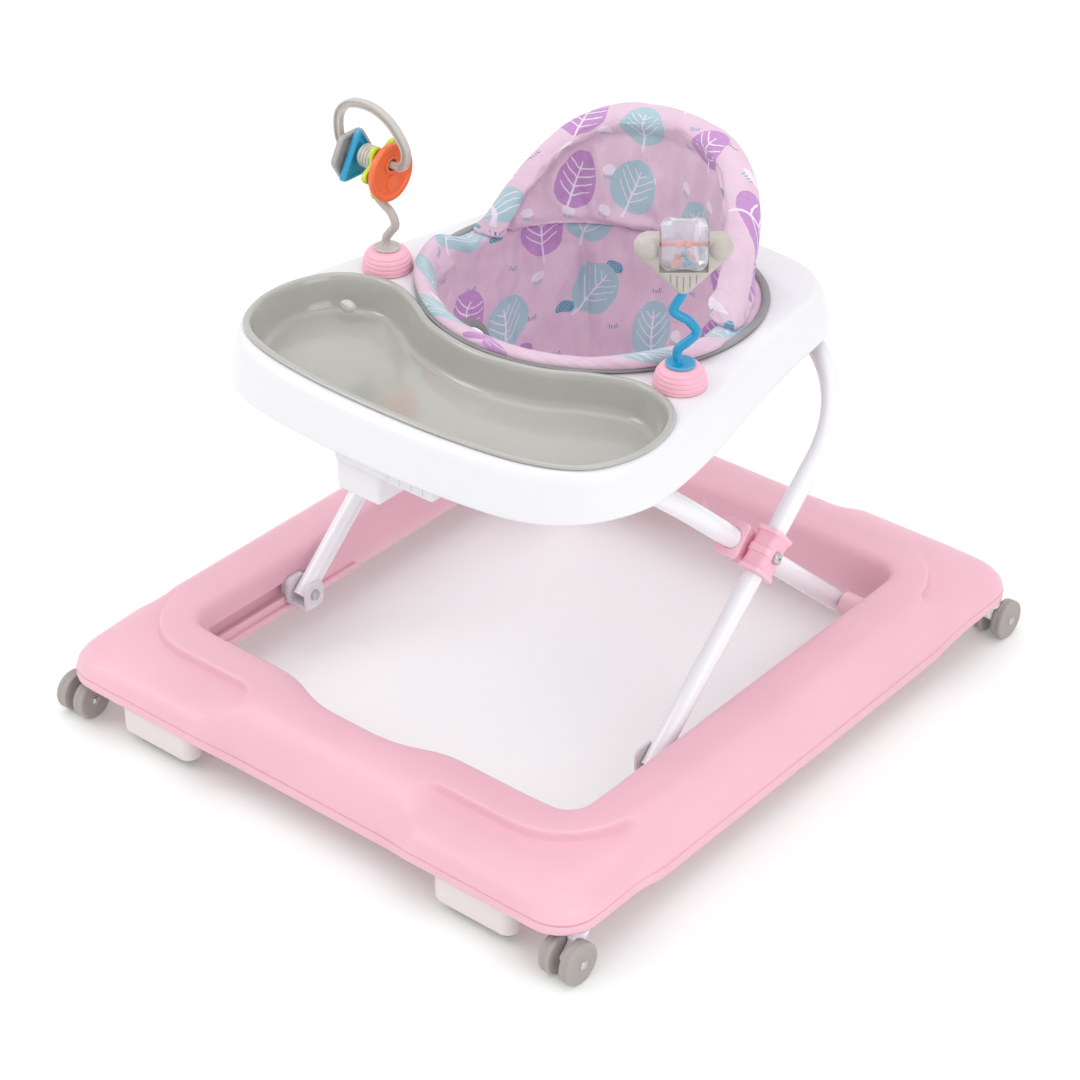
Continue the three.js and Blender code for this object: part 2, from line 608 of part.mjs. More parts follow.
// The shoe on the outer leg's front foot: cheeks beside the tube and a tongue in the guide slot.
function slidingFoot(label, side) {
  const innerCheek = OUTER_LEG_X - OUTER_LEG_RADIUS - 3.5;
  const outerCheek = OPENING_HALF_X - FIT;
  let body = box(innerCheek, outerCheek, -SHOE_HALF, SHOE_HALF, -15, 13);
  const tongueHalf = SLOT_HEIGHT / 2 - FIT;
  const tongueEnd = OPENING_HALF_X + 6;
  const tongue = box(outerCheek - 1, tongueEnd, 2 - SHOE_HALF, SHOE_HALF - 2, -tongueHalf, tongueHalf);
  const bore = OUTER_LEG_RADIUS * 2 + 2 * FIT;
  const standing = solid(new THREE.BoxGeometry(bore, 70, bore).translate(0, 24, 0));
  const folded = solid(new THREE.BoxGeometry(bore, 60, bore + 4).translate(0, 21, 0));
  body = body.add(tongue);
  body = body.subtract(standing.rotate([LEG_DEGREES, 0, 0]).translate([OUTER_LEG_X, 0, 0]));
  for (const share of [0.35, 0.7, 1]) {
    const angle = LEG_DEGREES - share * FOLD_DEGREES;
    body = body.subtract(folded.rotate([angle, 0, 0]).translate([OUTER_LEG_X, 0, 0]));
  }
  body = body.subtract(rod("x", SCREW_RADIUS + FIT, innerCheek - 5, outerCheek - 3, 0, 0));
  const mesh = piece("sliding_foot_" + label, side > 0 ? body : body.mirror([1, 0, 0]), WHITE);
  mesh.position.set(0, FRONT_FOOT_Y, FOOT_HEIGHT);
  return mesh;
}

function footRivet(label, side) {
  const innerCheek = OUTER_LEG_X - OUTER_LEG_RADIUS - 3.5;
  const shaft = rod("x", SCREW_RADIUS, innerCheek - 2, OPENING_HALF_X - 4, 0, 0);
  const body = shaft.add(rod("x", 5.5, innerCheek - 3, innerCheek - FIT, 0, 0, 14));
  const mesh = piece("foot_rivet_" + label, side > 0 ? body : body.mirror([1, 0, 0]), STEEL);
  mesh.position.set(0, FRONT_FOOT_Y, FOOT_HEIGHT);
  return mesh;
}

function rearPin(label, side) {
  const start = INNER_LEG_X - INNER_LEG_RADIUS;
  const shaft = rod("x", REAR_PIN_RADIUS, start - 2, OPENING_HALF_X + 10, 0, 0);
  const body = shaft.add(rod("x", REAR_PIN_RADIUS + 3, start - 4, start - FIT, 0, 0, 14));
  const mesh = piece("rear_pin_" + label, side > 0 ? body : body.mirror([1, 0, 0]), STEEL);
  mesh.position.set(0, REAR_PIVOT_Y, FOOT_HEIGHT);
  return mesh;
}

// ---- Tray -------------------------------------------------------------------------------------
const TRAY_POINTS = 36;

function trayOutline() {
  const half = [
    [0, -TRAY_FRONT],
    [95, -TRAY_FRONT + 4],
    [165, -TRAY_FRONT + 17],
    [207, -TRAY_FRONT + 48],
    [TRAY_HALF_WIDTH - 3, -TRAY_FRONT + 92],
    [TRAY_HALF_WIDTH, -TRAY_FRONT + 135],
    [TRAY_HALF_WIDTH - 10, -45],
    [TRAY_REAR_HALF + 22, 50],
    [TRAY_REAR_HALF + 6, 130],
    [TRAY_REAR_HALF - 7, TRAY_BACK - 48],
    [TRAY_REAR_HALF - 42, TRAY_BACK - 14],
    [85, TRAY_BACK - 3],
    [0, TRAY_BACK],
  ];
  return mirrored(half, TRAY_POINTS);
}

function snackOutline() {
  const half = [
    [0, SNACK_FRONT],
    [80, SNACK_FRONT + 3],
    [150, SNACK_FRONT + 14],
    [SNACK_HALF - 22, SNACK_FRONT + 36],
    [SNACK_HALF - 2, SNACK_FRONT + 74],
    [SNACK_HALF - 1, SNACK_FRONT + 115],
    [SNACK_HALF - 17, SNACK_FRONT + 151],
    [SNACK_HALF - 46, SNACK_FRONT + 170],
    [SNACK_HALF - 76, SNACK_FRONT + 173],
    [105, SNACK_FRONT + 160],
    [62, SNACK_FRONT + 137],
    [0, SNACK_FRONT + 126],
  ];
  return mirrored(half, 36);
}

function seatOutline(count = 26) {
  return Array.from({ length: count }, (_, i) => {
    const turn = (i / count) * 2 * Math.PI - Math.PI / 2;
    const c = Math.cos(turn);
    const s = Math.sin(turn);
    const power = s > 0 ? 0.86 : 1;
    const x = SEAT_HALF_X * Math.sign(c) * Math.abs(c) ** power;
    const reach = s > 0 ? SEAT_BACK : SEAT_FRONT;
    return new THREE.Vector2(x, SEAT_CENTRE_Y + reach * Math.sign(s) * Math.abs(s) ** (s > 0 ? 0.94 : 1));
  });
}

function trayBody() {
  const outline = trayOutline();
  const outer = stack(outline, [
    [SKIRT_BOTTOM, 0],
    [SKIRT_BOTTOM + 20, -1],
    [TRAY_TOP - 12, -5],
    [TRAY_TOP - 4, -10],
    [TRAY_TOP, -18],
  ]);
  const hollow = stack(outline, [
    [SKIRT_BOTTOM - 5, -TRAY_WALL],
    [SKIRT_BOTTOM + 20, -1 - TRAY_WALL],
    [TRAY_TOP - 12 - 2, -5 - TRAY_WALL],
    [TRAY_TOP - 4 - TRAY_WALL, -10 - TRAY_WALL],
    [TRAY_TOP - TRAY_WALL, -18 - TRAY_WALL],
  ]);
  const snack = snackOutline();
  const seat = seatOutline();
  const pocket = stack(snack, [[POCKET_FLOOR - TRAY_WALL, TRAY_WALL], [TRAY_TOP - 1, TRAY_WALL]]);
  const pocketHollow = stack(snack, [[POCKET_FLOOR, 0], [TRAY_TOP + 1, 0]]);
  const lip = stack(seat, [[TRAY_TOP - 21, TRAY_WALL], [TRAY_TOP - 1, TRAY_WALL]]);
  const lipHollow = stack(seat, [[TRAY_TOP - 40, 0], [TRAY_TOP + 1, 0]]);
  let body = outer.subtract(hollow).add(pocket).subtract(pocketHollow).add(lip).subtract(lipHollow);
  for (const side of [-1, 1]) {
    const across = ends(side * 55, side * 85);
    const bearing = box(...across, REAR_PIVOT_Y - 14, REAR_PIVOT_Y + 14, BAR_Z - 15, TRAY_TOP - 1);
    body = body.add(bearing);
    const domeHole = rod("z", DOME_PLUG + FIT, TRAY_TOP - 20, TRAY_TOP + 5, side * TOY_X, TOY_Y, 20);
    body = body.subtract(domeHole);
  }
  body = body.subtract(rod("x", OUTER_LEG_RADIUS + BEARING_PLAY, -100, 100, REAR_PIVOT_Y, BAR_Z, 24));
  return piece("tray_body", body.subtract(lipHollow), WHITE);
}

function snackTray() {
  const outline = snackOutline();
  const outer = stack(outline, [
    [POCKET_FLOOR + FIT, -9],
    [POCKET_FLOOR + 6, -4],
    [TRAY_TOP + FIT, -1],
    [TRAY_TOP + FIT + 0.01, 2.5],
    [TRAY_TOP + SNACK_RIM, 2],
  ]);
  const inner = stack(outline, [
    [POCKET_FLOOR + 3, -12],
    [POCKET_FLOOR + 9, -7],
    [TRAY_TOP + SNACK_RIM + 1, -4],
  ]);
  return piece("snack_tray", outer.subtract(inner), SNACK_GREY);
}

// The housing under the tray that the inner leg's top bar slides in, with the latch box in front.
const HOUSING_FRONT = -228;
const HOUSING_BACK = -96;
const LATCH_X = [-55, -5];

const LATCH_WALL = 4;
const LATCH_DEPTH = 48; // from the box's front to its back
const LATCH_BOTTOM = BAR_Z - 50;

function slideHousing() {
  const top = POCKET_FLOOR - TRAY_WALL - FIT;
  const channelTop = BAR_Z + INNER_LEG_RADIUS + FIT;
  const channelBottom = BAR_Z - INNER_LEG_RADIUS - FIT;
  const [left, right] = LATCH_X;
  const latchBack = HOUSING_FRONT + LATCH_DEPTH;
  const block = box(-58, 58, HOUSING_FRONT, HOUSING_BACK, channelBottom - 12, top);
  const latchBox = box(left, right, HOUSING_FRONT, latchBack, LATCH_BOTTOM, channelBottom - 11);
  const channel = box(-70, 70, HOUSING_FRONT + 5, HOUSING_BACK - 2, channelBottom, channelTop);
  const well = box(
    ...[left + LATCH_WALL, right - LATCH_WALL],
    ...[HOUSING_FRONT + LATCH_WALL + 1, latchBack - LATCH_WALL - 1],
    ...[LATCH_BOTTOM - 5, channelBottom - 4],
  );
  return piece("slide_housing", block.add(latchBox).subtract(channel).subtract(well), WHITE);
}

function latchButton() {
  const inset = LATCH_WALL + FIT;
  const [left, right] = LATCH_X;
  const body = box(
    ...[left + inset, right - inset],
    ...[HOUSING_FRONT + inset + 1, HOUSING_FRONT + LATCH_DEPTH - inset - 1],
    ...[LATCH_BOTTOM + 1, LATCH_BOTTOM + 16],
  );
  const grip = rod("x", 9, left + 10, right - 10, HOUSING_FRONT + LATCH_DEPTH / 2, LATCH_BOTTOM - 3);
  return piece("height_latch", body.subtract(grip), TOY_GREY);
}

// ---- Seat -------------------------------------------------------------------------------------
function seatRim() {
  const outline = seatOutline();
  const outer = stack(outline, [
    [TRAY_TOP - 17, -FIT],
    [TRAY_TOP + FIT, -FIT],
    [TRAY_TOP + FIT + 0.01, 4],
    [RIM_TOP, 3],
  ]);
  const inner = stack(outline, [[TRAY_TOP - 20, -3], [RIM_TOP + 1, -3]]);
  return piece("seat_rim", outer.subtract(inner), BINDING);
}

// The seat opening's outline drawn in by a share and an inset, at a height.
function slingRing(z, share, inset) {
  const drawn = seatOutline().map((p) => {
    return new THREE.Vector2(p.x * share, (p.y - SEAT_CENTRE_Y) * share + SEAT_CENTRE_Y);
  });
  return at(grown(drawn, inset), z);
}

function seatSling() {
  const gap = -3 - FIT;
  const levels = [
    [SLING_BOTTOM, 0.42],
    [SLING_BOTTOM + 18, 0.62],
    [SLING_BOTTOM + 55, 0.8],
    [TRAY_TOP - 40, 0.91],
    [TRAY_TOP - 17, 0.99],
    [RIM_TOP - 1, 1],
  ];
  const outer = loft(levels.map(([z, share]) => slingRing(z, share, gap)));
  const inner = loft(
    levels.map(([z, share], i) => {
      const lift = i === 0 ? SLING_THICKNESS : i === levels.length - 1 ? 2 : 0;
      return slingRing(z + lift, share, gap - SLING_THICKNESS);
    }),
  );
  let body = outer.subtract(inner);
  for (const side of [-1, 1]) {
    const hole = new THREE.CylinderGeometry(44, 44, 160, 20).rotateX(Math.PI / 2);
    hole.rotateX(-0.5).translate(side * 62, -30, SLING_BOTTOM + 52);
    body = body.subtract(solid(hole));
  }
  return piece("seat_sling", body, FABRIC);
}

// Height of the backrest's top above the tray at a place across it.
const backrestTop = (x) => BACKREST_RISE * Math.sqrt(Math.max(1 - Math.abs(x / (SEAT_HALF_X - 5)) ** 3, 0));

const BACKREST_STEPS = 22;

// One upright section of the backrest, at a turn round the seat, between two insets from its outside.
function backrestSection(turn, outside, inside, bottom, drop) {
  const direction = new THREE.Vector2(Math.cos(turn), Math.sin(turn));
  const reach = (inset) =>
    new THREE.Vector2(
      direction.x * (SEAT_HALF_X - 7 - inset),
      SEAT_CENTRE_Y + direction.y * (SEAT_BACK - 3 - inset),
    );
  const far = reach(outside);
  const near = reach(inside);
  const top = Math.max(TRAY_TOP + backrestTop(reach(0).x) - drop, bottom + 9);
  const round = Math.min(6, (inside - outside) / 3);
  const step = new THREE.Vector2().subVectors(near, far).normalize().multiplyScalar(round);
  return [
    new THREE.Vector3(far.x, far.y, bottom),
    new THREE.Vector3(near.x, near.y, bottom),
    new THREE.Vector3(near.x, near.y, top - round),
    new THREE.Vector3(near.x - step.x, near.y - step.y, top),
    new THREE.Vector3(far.x + step.x, far.y + step.y, top),
    new THREE.Vector3(far.x, far.y, top - round),
  ];
}

function backrestBody(outside, inside, bottom, drop, trim) {
  const rings = [];
  for (let i = 0; i <= BACKREST_STEPS; i++) {
    const turn = trim + (i / BACKREST_STEPS) * (Math.PI - 2 * trim);
    rings.push(backrestSection(turn, outside, inside, bottom, drop));
  }
  return loft(rings);
}

const BACKREST_BOTTOM = RIM_TOP + FIT;
const BOARD_INSET = (BACKREST_THICKNESS - BOARD_THICKNESS) / 2 - 3;

function backrest() {
  const pad = backrestBody(0, BACKREST_THICKNESS, BACKREST_BOTTOM, 0, 0.1);
  const sleeve = [BOARD_INSET - FIT, BOARD_INSET + BOARD_THICKNESS + FIT];
  const pocket = backrestBody(...sleeve, BACKREST_BOTTOM - 3, 16 - FIT, 0.45 - 0.01);
  return piece("backrest_pad", pad.subtract(pocket), FABRIC);
}

function backrestBoard() {
  const board = backrestBody(BOARD_INSET, BOARD_INSET + BOARD_THICKNESS, BACKREST_BOTTOM, 16, 0.45);
  return piece("backrest_board", board, BOARD);
}

// ---- Toys: each is built round its dome's axis, at the tray's top ------------------------------
function dome(label, side) {
  const top = DOME_HEIGHT;
  const profile = [
    [0, -8],
    [DOME_PLUG, -8],
    [DOME_PLUG, FIT],
    [DOME_RADIUS, FIT],
    [DOME_RADIUS, 5],
    [DOME_RADIUS - 3, 8],
    [DOME_RADIUS - 6, 14],
    [DOME_RADIUS - 9, 18],
    [DOME_RADIUS - 12, top],
    [0, top],
  ].map(([r, z]) => new THREE.Vector2(r, z));
  const body = solid(new THREE.LatheGeometry(profile, 20).rotateX(Math.PI / 2));
  const mesh = piece("toy_dome_" + label, body.subtract(rod("z", 5 + FIT, top - 9, top + 2, 0, 0)), PINK);
  mesh.position.set(side * TOY_X, TOY_Y, TRAY_TOP);
  return mesh;
}

// A wavy stem in the XZ plane with its flange on the dome, from points of offset and height.
function wavyStem(points, flange) {
  const curve = new THREE.CatmullRomCurve3(points.map(([x, z]) => new THREE.Vector3(x, 0, z)));
  const path = curve.getSpacedPoints(18);
  const stem = tube(path, STEM_TOY_RADIUS, new THREE.Vector3(0, 1, 0), 8);
  const plug = rod("z", 5, DOME_HEIGHT - 8, DOME_HEIGHT + 3, 0, 0);
  return stem.add(plug).add(rod("z", flange, DOME_HEIGHT + FIT, DOME_HEIGHT + 2.4, 0, 0, 16));
}

function loopStem() {
  const points = [
    [0, DOME_HEIGHT],
    [-1, DOME_HEIGHT + 10],
    [5, DOME_HEIGHT + 19],
    [11, DOME_HEIGHT + 28],
    [6, DOME_HEIGHT + 39],
    [-8, DOME_HEIGHT + 48],
    [-14, DOME_HEIGHT + 58],
    [BAR_OFFSET, BAR_RISE - BARREL_RADIUS + 1],
  ];
  const socket = rod("x", BAR_RADIUS + FIT, -60, 60, 0, BAR_RISE);
  const barrel = rod("x", BARREL_RADIUS, BAR_OFFSET - 10, BAR_OFFSET + 10, 0, BAR_RISE, 14);
  return wavyStem(points, 12).add(barrel).subtract(socket);
}

// The loop handle: a bar through the rings and a bow over it.
function loopHandle() {
  const bow = [
    [BAR_OFFSET - BAR_HALF, BAR_RISE - 4],
    [BAR_OFFSET - BAR_HALF - 6, BAR_RISE + 14],
    [BAR_OFFSET - BAR_HALF - 4, BAR_RISE + 36],
    [BAR_OFFSET - BAR_HALF + 12, BAR_RISE + 50],
    [BAR_OFFSET + 2, BAR_RISE + 50],
    [BAR_OFFSET + BAR_HALF - 10, BAR_RISE + 40],
    [BAR_OFFSET + BAR_HALF + 6, BAR_RISE + 20],
    [BAR_OFFSET + BAR_HALF + 4, BAR_RISE + 2],
    [BAR_OFFSET + BAR_HALF - 4, BAR_RISE],
  ];
  const curve = new THREE.CatmullRomCurve3(bow.map(([x, z]) => new THREE.Vector3(x, 0, z)));
  const body = tube(curve.getSpacedPoints(24), BAR_RADIUS + 0.4, new THREE.Vector3(0, 1, 0), 8);
  const bar = rod("x", BAR_RADIUS, BAR_OFFSET - BAR_HALF, BAR_OFFSET + BAR_HALF - 2, 0, BAR_RISE);
  return body.add(bar);
}

// A ring that hangs on the bar: an outline in the YZ plane with a hole above its middle.
function hangingRing(outline, thickness, hang) {
  const round = plate(outline, -thickness / 2, thickness / 2);
  const turned = round.rotate([90, 0, 0]).rotate([0, 0, 90]).translate([0, 0, -hang]);
  return turned.subtract(rod("x", BAR_RADIUS + RING_PLAY, -thickness, thickness, 0, 0, 12));
}

const hexagon = () => polar(6, () => 27);
const triangle = () => {
  const corners = [90, 210, 330].map((deg) => {
    const turn = (deg * Math.PI) / 180;
    return new THREE.Vector2(26 * Math.cos(turn), 26 * Math.sin(turn));
  });
  const points = [];
  corners.forEach((corner, i) => {
    for (let k = -2; k <= 2; k++) {
      const turn = ((90 + 120 * i + k * 28) * Math.PI) / 180;
      points.push(new THREE.Vector2(corner.x + 5 * Math.cos(turn), corner.y + 5 * Math.sin(turn)));
    }
  });
  return points;
};
const flower = () => polar(36, (turn) => 25 + 4.5 * Math.cos(6 * turn));
const disc = () => polar(24, () => 28);

// The rattle's holder: a rounded triangle with a window for the drum.
function rattleHolder() {
  const lobes = [
    [-30, 4, 13],
    [30, 4, 13],
    [0, -31, 9],
  ];
  const hull = [];
  lobes.forEach(([x, z, radius], i) => {
    const start = [60, -90, -150][i];
    const sweep = [150, 150, 120][i];
    for (let k = 0; k <= 6; k++) {
      const turn = ((start + (k / 6) * sweep) * Math.PI) / 180;
      hull.push(new THREE.Vector2(x + radius * Math.cos(turn), z + radius * Math.sin(turn)));
    }
  });
  hull.sort((a, b) => Math.atan2(a.y + 8, a.x) - Math.atan2(b.y + 8, b.x));
  const outline = hull;
  const small = grown(outline, -4);
  const body = loft([at(small, -11), at(outline, -6), at(outline, 6), at(small, 11)]);
  const upright = body.rotate([90, 0, 0]).translate([0, 0, HOLDER_RISE]);
  const window = rod("x", DRUM_RADIUS + 1.5, -DRUM_WIDTH / 2 - 1, DRUM_WIDTH / 2 + 1, 0, DRUM_Z, 20);
  const socketBottom = HOLDER_RISE - HOLDER_DROP;
  const socketTop = socketBottom + STEM_SOCKET + FIT;
  const socket = rod("z", STEM_TOY_RADIUS + FIT, socketBottom - 5, socketTop, 0, 0, 16);
  return upright.subtract(window).subtract(socket).subtract(rod("x", 2 + FIT, -30, 30, 0, DRUM_Z));
}

function drum() {
  const half = DRUM_WIDTH / 2;
  const wall = 2;
  const profile = [
    [2 + FIT, -half],
    [DRUM_RADIUS - 5, -half],
    [DRUM_RADIUS, -half + 6],
    [DRUM_RADIUS, half - 6],
    [DRUM_RADIUS - 5, half],
    [2 + FIT, half],
    [2 + FIT, half - wall],
    [DRUM_RADIUS - 6, half - wall],
    [DRUM_RADIUS - wall, half - 6],
    [DRUM_RADIUS - wall, -half + 6],
    [DRUM_RADIUS - 6, -half + wall],
    [2 + FIT, -half + wall],
    [2 + FIT, -half],
  ].map(([r, z]) => new THREE.Vector2(r, z));
  return solid(new THREE.LatheGeometry(profile, 18).rotateZ(-Math.PI / 2));
}

function beadedAxle() {
  let body = rod("x", 2, -DRUM_WIDTH / 2 - 6, DRUM_WIDTH / 2 + 6, 0, 0, 12);
  for (const x of [-11, 0, 11]) {
    body = body.add(solid(new THREE.SphereGeometry(5, 8, 5).translate(x, 0, 0)));
  }
  return body;
}

function rattleStem() {
  const top = HOLDER_RISE - HOLDER_DROP + STEM_SOCKET;
  const points = [
    [0, DOME_HEIGHT],
    [-3, DOME_HEIGHT + 14],
    [6, DOME_HEIGHT + 23],
    [13, DOME_HEIGHT + 32],
    [6, DOME_HEIGHT + 43],
    [-7, DOME_HEIGHT + 52],
    [-5, DOME_HEIGHT + 60],
    [0, top - STEM_SOCKET - 2],
    [0, top],
  ];
  return wavyStem(points, 12.5);
}

function leftToy() {
  const group = new THREE.Group();
  group.position.set(-TOY_X, TOY_Y, TRAY_TOP);
  group.add(piece("loop_stem", loopStem(), TOY_GREY));
  group.add(piece("loop_handle", loopHandle(), TOY_GREY));
  const rings = [
    ["hexagon_ring", hangingRing(hexagon(), 6, 5), HEX_GREY, -26],
    ["triangle_ring", hangingRing(triangle(), 7, 5), BLUE, -16],
    ["flower_ring", hangingRing(flower(), 5, 7), LIME, 14],
    ["disc_ring", hangingRing(disc(), 6, 8), ORANGE, 22],
  ];
  for (const [name, body, material, x] of rings) {
    const mesh = piece(name, body, material);
    mesh.position.set(BAR_OFFSET + x, 0, BAR_RISE);
    group.add(mesh);
  }
  return group;
}

function rightToy() {
  const group = new THREE.Group();
  group.position.set(TOY_X, TOY_Y, TRAY_TOP);
  group.rotation.z = (RATTLE_TURN * Math.PI) / 180;
  group.add(piece("rattle_stem", rattleStem(), BLUE));
  group.add(piece("rattle_holder", rattleHolder(), TOY_GREY));
  const barrel = piece("rattle_drum", drum(), CLEAR);
  const axle = piece("rattle_axle", beadedAxle(), CORAL);
  barrel.position.set(0, 0, DRUM_Z);
  axle.position.set(0, 0, DRUM_Z);
  group.add(barrel, axle);
  return group;
}

// ---- The whole walker -------------------------------------------------------------------------
const walker = new THREE.Group();
const CORNERS = [
  ["front_left", -1, -1],
  ["front_right", 1, -1],
  ["rear_left", -1, 1],
  ["rear_right", 1, 1],
];
const SIDES = [
  ["left", -1],
  ["right", 1],
];
walker.add(baseFrame());
for (const corner of CORNERS) {
  walker.add(stopper(...corner), stopperPad(...corner), castor(...corner));
}
walker.add(outerLeg(), innerLeg());
for (const side of SIDES) {
  walker.add(pivot(...side), slidingFoot(...side), footRivet(...side), rearPin(...side), dome(...side));
}
walker.add(trayBody(), snackTray(), slideHousing(), latchButton());
walker.add(seatRim(), seatSling(), backrest(), backrestBoard(), leftToy(), rightToy());

export default walker;
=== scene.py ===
"""A folding baby walker: its finished surfaces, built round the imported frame. Metres, Z up, front at -Y."""

import json
import math

import bmesh
import bpy
import numpy as np
from mathutils import Matrix, Vector, noise


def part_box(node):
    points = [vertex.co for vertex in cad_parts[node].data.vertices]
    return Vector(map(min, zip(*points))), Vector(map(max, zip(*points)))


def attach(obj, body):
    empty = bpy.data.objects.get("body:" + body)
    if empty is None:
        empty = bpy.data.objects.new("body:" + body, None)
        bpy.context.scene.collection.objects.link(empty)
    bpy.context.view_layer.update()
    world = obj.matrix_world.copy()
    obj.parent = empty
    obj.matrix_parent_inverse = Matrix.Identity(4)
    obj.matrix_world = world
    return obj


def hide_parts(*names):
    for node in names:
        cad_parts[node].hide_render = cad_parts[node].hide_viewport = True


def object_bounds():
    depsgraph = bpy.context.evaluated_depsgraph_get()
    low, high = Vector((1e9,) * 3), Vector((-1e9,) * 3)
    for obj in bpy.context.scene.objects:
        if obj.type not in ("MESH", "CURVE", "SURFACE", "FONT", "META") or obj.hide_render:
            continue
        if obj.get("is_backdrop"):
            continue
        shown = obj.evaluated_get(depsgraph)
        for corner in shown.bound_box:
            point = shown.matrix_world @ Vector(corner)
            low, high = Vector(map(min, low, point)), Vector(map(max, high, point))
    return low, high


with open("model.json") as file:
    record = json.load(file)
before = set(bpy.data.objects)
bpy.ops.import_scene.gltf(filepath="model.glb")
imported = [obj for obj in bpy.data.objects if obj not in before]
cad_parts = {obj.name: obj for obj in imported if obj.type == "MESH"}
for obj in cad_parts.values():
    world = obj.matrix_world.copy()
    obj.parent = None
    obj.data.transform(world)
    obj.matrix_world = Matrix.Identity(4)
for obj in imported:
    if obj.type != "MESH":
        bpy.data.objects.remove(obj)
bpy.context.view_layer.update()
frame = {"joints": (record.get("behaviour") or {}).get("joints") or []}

MM = 0.001


# ---- Studio ------------------------------------------------------------------------------------
# A pale floor under a large overhead softbox, a window-like key from the left and a weak fill
# from the right. The long lens stands high in front of the right-hand corner.
def area_light(name, place, target, size, power):
    lamp = bpy.data.lights.new(name, "AREA")
    lamp.size = size
    lamp.energy = power
    lamp_object = bpy.data.objects.new(name, lamp)
    lamp_object.location = place
    lamp_object.rotation_euler = (Vector(target) - Vector(place)).to_track_quat("-Z", "Y").to_euler()
    bpy.context.scene.collection.objects.link(lamp_object)


camera_data = bpy.data.cameras.new("camera")
camera_data.lens = 100
camera_data.sensor_width = 36
camera = bpy.data.objects.new("camera", camera_data)
camera.location = (1.5276, -1.8498, 1.6983)
aim = Vector((-0.1564, 0.1749, 0))
camera.rotation_euler = (aim - camera.location).to_track_quat("-Z", "Y").to_euler()
bpy.context.scene.collection.objects.link(camera)
bpy.context.scene.camera = camera

FLOOR_HALF = 6
floor_mesh = bpy.data.meshes.new("floor")
floor_mesh.from_pydata(
    [
        (-FLOOR_HALF, -FLOOR_HALF, 0), (FLOOR_HALF, -FLOOR_HALF, 0), (FLOOR_HALF, FLOOR_HALF, 0),
        (-FLOOR_HALF, FLOOR_HALF, 0),
    ],
    [],
    [(0, 1, 2, 3)],
)
floor = bpy.data.objects.new("floor", floor_mesh)
bpy.context.scene.collection.objects.link(floor)
floor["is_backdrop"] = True
floor_paint = bpy.data.materials.new("floor_paint")
floor_paint.use_nodes = True
floor_paint.node_tree.nodes["Principled BSDF"].inputs["Base Color"].default_value = (0.93, 0.93, 0.93, 1)
floor_paint.node_tree.nodes["Principled BSDF"].inputs["Roughness"].default_value = 0.9
floor_paint.node_tree.nodes["Principled BSDF"].inputs["Emission Color"].default_value = (0.86, 1.0, 0.95, 1)
floor_paint.node_tree.nodes["Principled BSDF"].inputs["Emission Strength"].default_value = 0.09
floor_mesh.materials.append(floor_paint)

world = bpy.data.worlds.new("studio")
world.use_nodes = True
world.node_tree.nodes["Background"].inputs["Color"].default_value = (1, 1, 1, 1)
world.node_tree.nodes["Background"].inputs["Strength"].default_value = 0.86
bpy.context.scene.world = world
bpy.context.scene.view_settings.view_transform = "Standard"
area_light("overhead", (0, 0.2, 2.6), (0, 0, 0.1), 2.6, 15)
area_light("key", (-1.7, -1.5, 2.1), (0, 0, 0.2), 1.2, 12)
area_light("fill", (2.3, -0.6, 1.5), (0, 0, 0.2), 1.6, 12)


# ---- Base ring ---------------------------------------------------------------------------------
# One large injection moulding in pink polypropylene: four rails with a broad rounded ridge, a lower
# pad over each castor, a lip below the parting line, and a guide slot in each inner side wall.
def shader(name):
    """A new material: its node tree, its main shader and its object coordinates."""
    material = bpy.data.materials.new(name)
    material.use_nodes = True
    tree = material.node_tree
    place = tree.nodes.new("ShaderNodeTexCoord").outputs["Object"]
    return material, tree, tree.nodes["Principled BSDF"], place


def textured(tree, kind, vector, scale, detail=2.0, output=0):
    """A noise-like texture at a scale, in waves per metre."""
    texture = tree.nodes.new("ShaderNodeTex" + kind)
    texture.inputs["Scale"].default_value = scale
    if "Detail" in texture.inputs:
        texture.inputs["Detail"].default_value = detail
    tree.links.new(vector, texture.inputs["Vector"])
    return texture.outputs[output]


def ranged(tree, value, low, high, to_low, to_high):
    """A value carried over from one range to another, clamped."""
    step = tree.nodes.new("ShaderNodeMapRange")
    tree.links.new(value, step.inputs["Value"])
    for socket, number in zip(step.inputs[1:5], (low, high, to_low, to_high)):
        socket.default_value = number
    return step.outputs["Result"]


def mixed(tree, factor, first, second):
    """Two colours, as tuples or sockets, mixed by a factor socket."""
    mix = tree.nodes.new("ShaderNodeMix")
    mix.data_type = "RGBA"
    tree.links.new(factor, mix.inputs["Factor"])
    for socket, colour in ((mix.inputs["A"], first), (mix.inputs["B"], second)):
        if isinstance(colour, tuple):
            socket.default_value = (*colour, 1)
        else:
            tree.links.new(colour, socket)
    return mix.outputs["Result"]


def bumped(tree, main, height, depth, strength=1.0):
    """Raises the surface by a height socket, to a depth in metres."""
    bump = tree.nodes.new("ShaderNodeBump")
    bump.inputs["Distance"].default_value = depth
    bump.inputs["Strength"].default_value = strength
    tree.links.new(height, bump.inputs["Height"])
    tree.links.new(bump.outputs["Normal"], main.inputs["Normal"])
    return bump


def srgb(red, green, blue):
    """A colour given as it is seen, 0 to 255, in linear light."""
    seen = [channel / 255 for channel in (red, green, blue)]
    return tuple(c / 12.92 if c <= 0.04045 else ((c + 0.055) / 1.055) ** 2.4 for c in seen)


